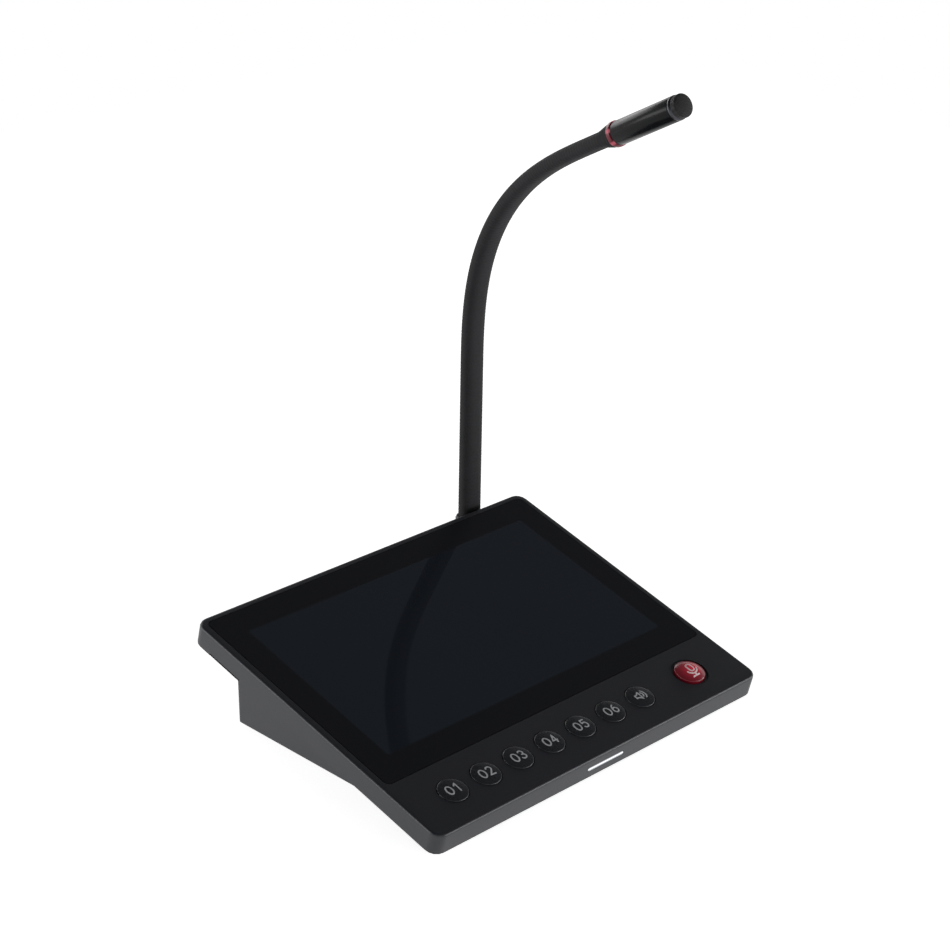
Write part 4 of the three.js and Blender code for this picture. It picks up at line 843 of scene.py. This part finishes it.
outer, inner = RING_RADIUS - RING_EDGE, RING_WIDTH - RING_EDGE
ring_outline = [
    (RING_BORE, 0),
    *arc((outer, RING_EDGE), RING_EDGE, -90, 0, RING_EDGE_STEPS),
    *arc((outer, inner), RING_EDGE, 0, 90, RING_EDGE_STEPS),
    (RING_BORE, RING_WIDTH),
]
red_ring = material("moulded red polycarbonate, lit", ring_glow)
ring = turned(
    "signal_ring_lens", ring_outline, head, red_ring, head_body, "signal_ring", closed=True
)

# Microphone tube: drawn aluminium under glossy black lacquer, which flows out a little wavy. A
# stepped plug at its rear goes through the ring and is pressed onto the neck's end.
TUBE_START = 2.5 * MM
TUBE_END = 36.0 * MM
TUBE_BORE = 4.5 * MM
TUBE_EDGE = 0.2 * MM
TUBE_EDGE_STEPS = 3
PLUG_RADIUS = 4.0 * MM
PLUG_END = 5.5 * MM
WIRE_BORE = 1.6 * MM
tube_outline = [
    (WIRE_BORE, 0),
    (PLUG_RADIUS, 0),
    (PLUG_RADIUS, TUBE_START),
    *arc((HEAD_RADIUS - TUBE_EDGE, TUBE_START + TUBE_EDGE), TUBE_EDGE, -90, 0, TUBE_EDGE_STEPS),
    *arc((HEAD_RADIUS - TUBE_EDGE, TUBE_END - TUBE_EDGE), TUBE_EDGE, 0, 90, TUBE_EDGE_STEPS),
    (TUBE_BORE, TUBE_END),
    (TUBE_BORE, PLUG_END),
    (WIRE_BORE, PLUG_END),
]
wavy_lacquer = grained("#121315", 0.22, grain=2.5 * MM, depth=0.002 * MM, Specular_IOR_Level=0.11)
lacquer = material("black lacquer on drawn aluminium", wavy_lacquer)
tube = turned("head_tube_skin", tube_outline, head, lacquer, head_body, "head_tube", closed=True)

# Capsule: the small zinc plated can of the microphone itself, held in the tube's mouth by a collar
# of moulded silicone. Both lie behind the mesh cap.
dress(zinc_steel, "capsule")
dress(silicone, "capsule_collar")

# Rim: a collar of aluminium, turned on a lathe and anodised dark grey, pressed on the tube's
# mouth. Its outer edge is cut to a bevel. The turning marks are drawn coarser than real ones, so
# that they show.
RIM_START = 36.3 * MM
RIM_END = 37.6 * MM
RIM_BEVEL = 0.6 * MM
RIM_BORE = 3.7 * MM
MARK_PITCH = 0.12 * MM
MARK_DEPTH = 0.004 * MM


def turning_marks(tree):
    """Fine rings: a bump by the sine of the distance from the axis plus the height along it."""
    axes = in_frame(tree, head)
    path = add(tree, "Math", {0: off_axis(tree, axes), 1: axes["Z"]}, operation="ADD").outputs[0]
    phase = add(tree, "Math", {0: path, 1: 2 * pi / MARK_PITCH}, operation="MULTIPLY").outputs[0]
    wave = add(tree, "Math", {0: phase}, operation="SINE").outputs[0]
    inputs = {
        "Base Color": colour("#47484c"),
        "Metallic": 1.0,
        "Roughness": 0.35,
        "Normal": add(tree, "Bump", {"Height": wave, "Distance": MARK_DEPTH}).outputs["Normal"],
    }
    return add(tree, "BsdfPrincipled", inputs).outputs[0]


rim_outline = [
    (RIM_BORE, RIM_START),
    (HEAD_RADIUS, RIM_START),
    (HEAD_RADIUS, RIM_END - RIM_BEVEL),
    (HEAD_RADIUS - RIM_BEVEL, RIM_END),
    (RIM_BORE, RIM_END),
]
grey_rim = material("turned and anodised aluminium", turning_marks)
rim = turned("head_rim_bevel", rim_outline, head, grey_rim, head_body, "head_rim", closed=True)

# Mesh cap: blackened wire cloth, woven and pressed into a shallow cup with a domed face, that
# keeps dust off the capsule. The weave is drawn at about twice its real pitch, so that it shows.
CAP_RADIUS = 4.75 * MM
CAP_WALL = 0.4 * MM
CAP_START = 37.9 * MM
CAP_END = 40.5 * MM
CAP_CROWN = 0.7 * MM
CAP_STEPS = 9
SHOULDER_TURN = 72
WIRE_PITCH = 0.55 * MM
WIRE_DEPTH = 0.1 * MM
WEAVE_SHADE_RANGE = {"From Min": -0.6, "From Max": 0.7}


def woven_wire(tree):
    """Two crossing sines of the head's own X and Y. The higher one is the wire on top, and the
    tone is painted shade, darkest in the gaps where both are low.
    """
    axes = in_frame(tree, head)
    waves = []
    for axis in ("X", "Y"):
        phase = add(tree, "Math", {0: axes[axis], 1: 2 * pi / WIRE_PITCH}, operation="MULTIPLY")
        waves.append(add(tree, "Math", {0: phase.outputs[0]}, operation="SINE").outputs[0])
    weave = add(tree, "Math", {0: waves[0], 1: waves[1]}, operation="MAXIMUM").outputs[0]
    share = add(tree, "MapRange", {"Value": weave, **WEAVE_SHADE_RANGE}).outputs[0]
    # Painted shade: the tone is darkest in the gaps between the wires and lighter on the wires.
    tones = {"Color1": colour("#040404"), "Color2": colour("#161617")}
    tone = add(tree, "MixRGB", {"Fac": share, **tones})
    inputs = {
        "Base Color": tone.outputs[0],
        "Roughness": 0.6,
        "Specular IOR Level": 0.3,
        "Normal": add(tree, "Bump", {"Height": weave, "Distance": WIRE_DEPTH}).outputs["Normal"],
    }
    return add(tree, "BsdfPrincipled", inputs).outputs[0]


def mesh_cap_outline():
    """The cup's outline from the inner dome's middle round the mouth and a quarter-round shoulder
    to the outer dome's middle. Both domes are parabolas of the distance from the axis."""
    out = np.linspace(0, 1, CAP_STEPS + 1)
    bore = CAP_RADIUS - CAP_WALL
    hollow = np.column_stack([bore * out, CAP_END - 2 * CAP_WALL + CAP_CROWN * (1 - out**2)])
    shoulder = arc((CAP_RADIUS - CAP_CROWN, CAP_END - CAP_CROWN), CAP_CROWN, 0, SHOULDER_TURN)
    width, rise = shoulder[-1]
    peak = CAP_END + CAP_CROWN
    crown = np.column_stack([width * (1 - out), rise + (peak - rise) * (1 - (1 - out) ** 2)])
    return np.vstack([hollow, [(bore, CAP_START), (CAP_RADIUS, CAP_START)], shoulder, crown[1:]])


wire_cloth = material("blackened woven wire", woven_wire)
cap = turned("head_mesh_wire", mesh_cap_outline(), head, wire_cloth, head_body, "head_mesh")
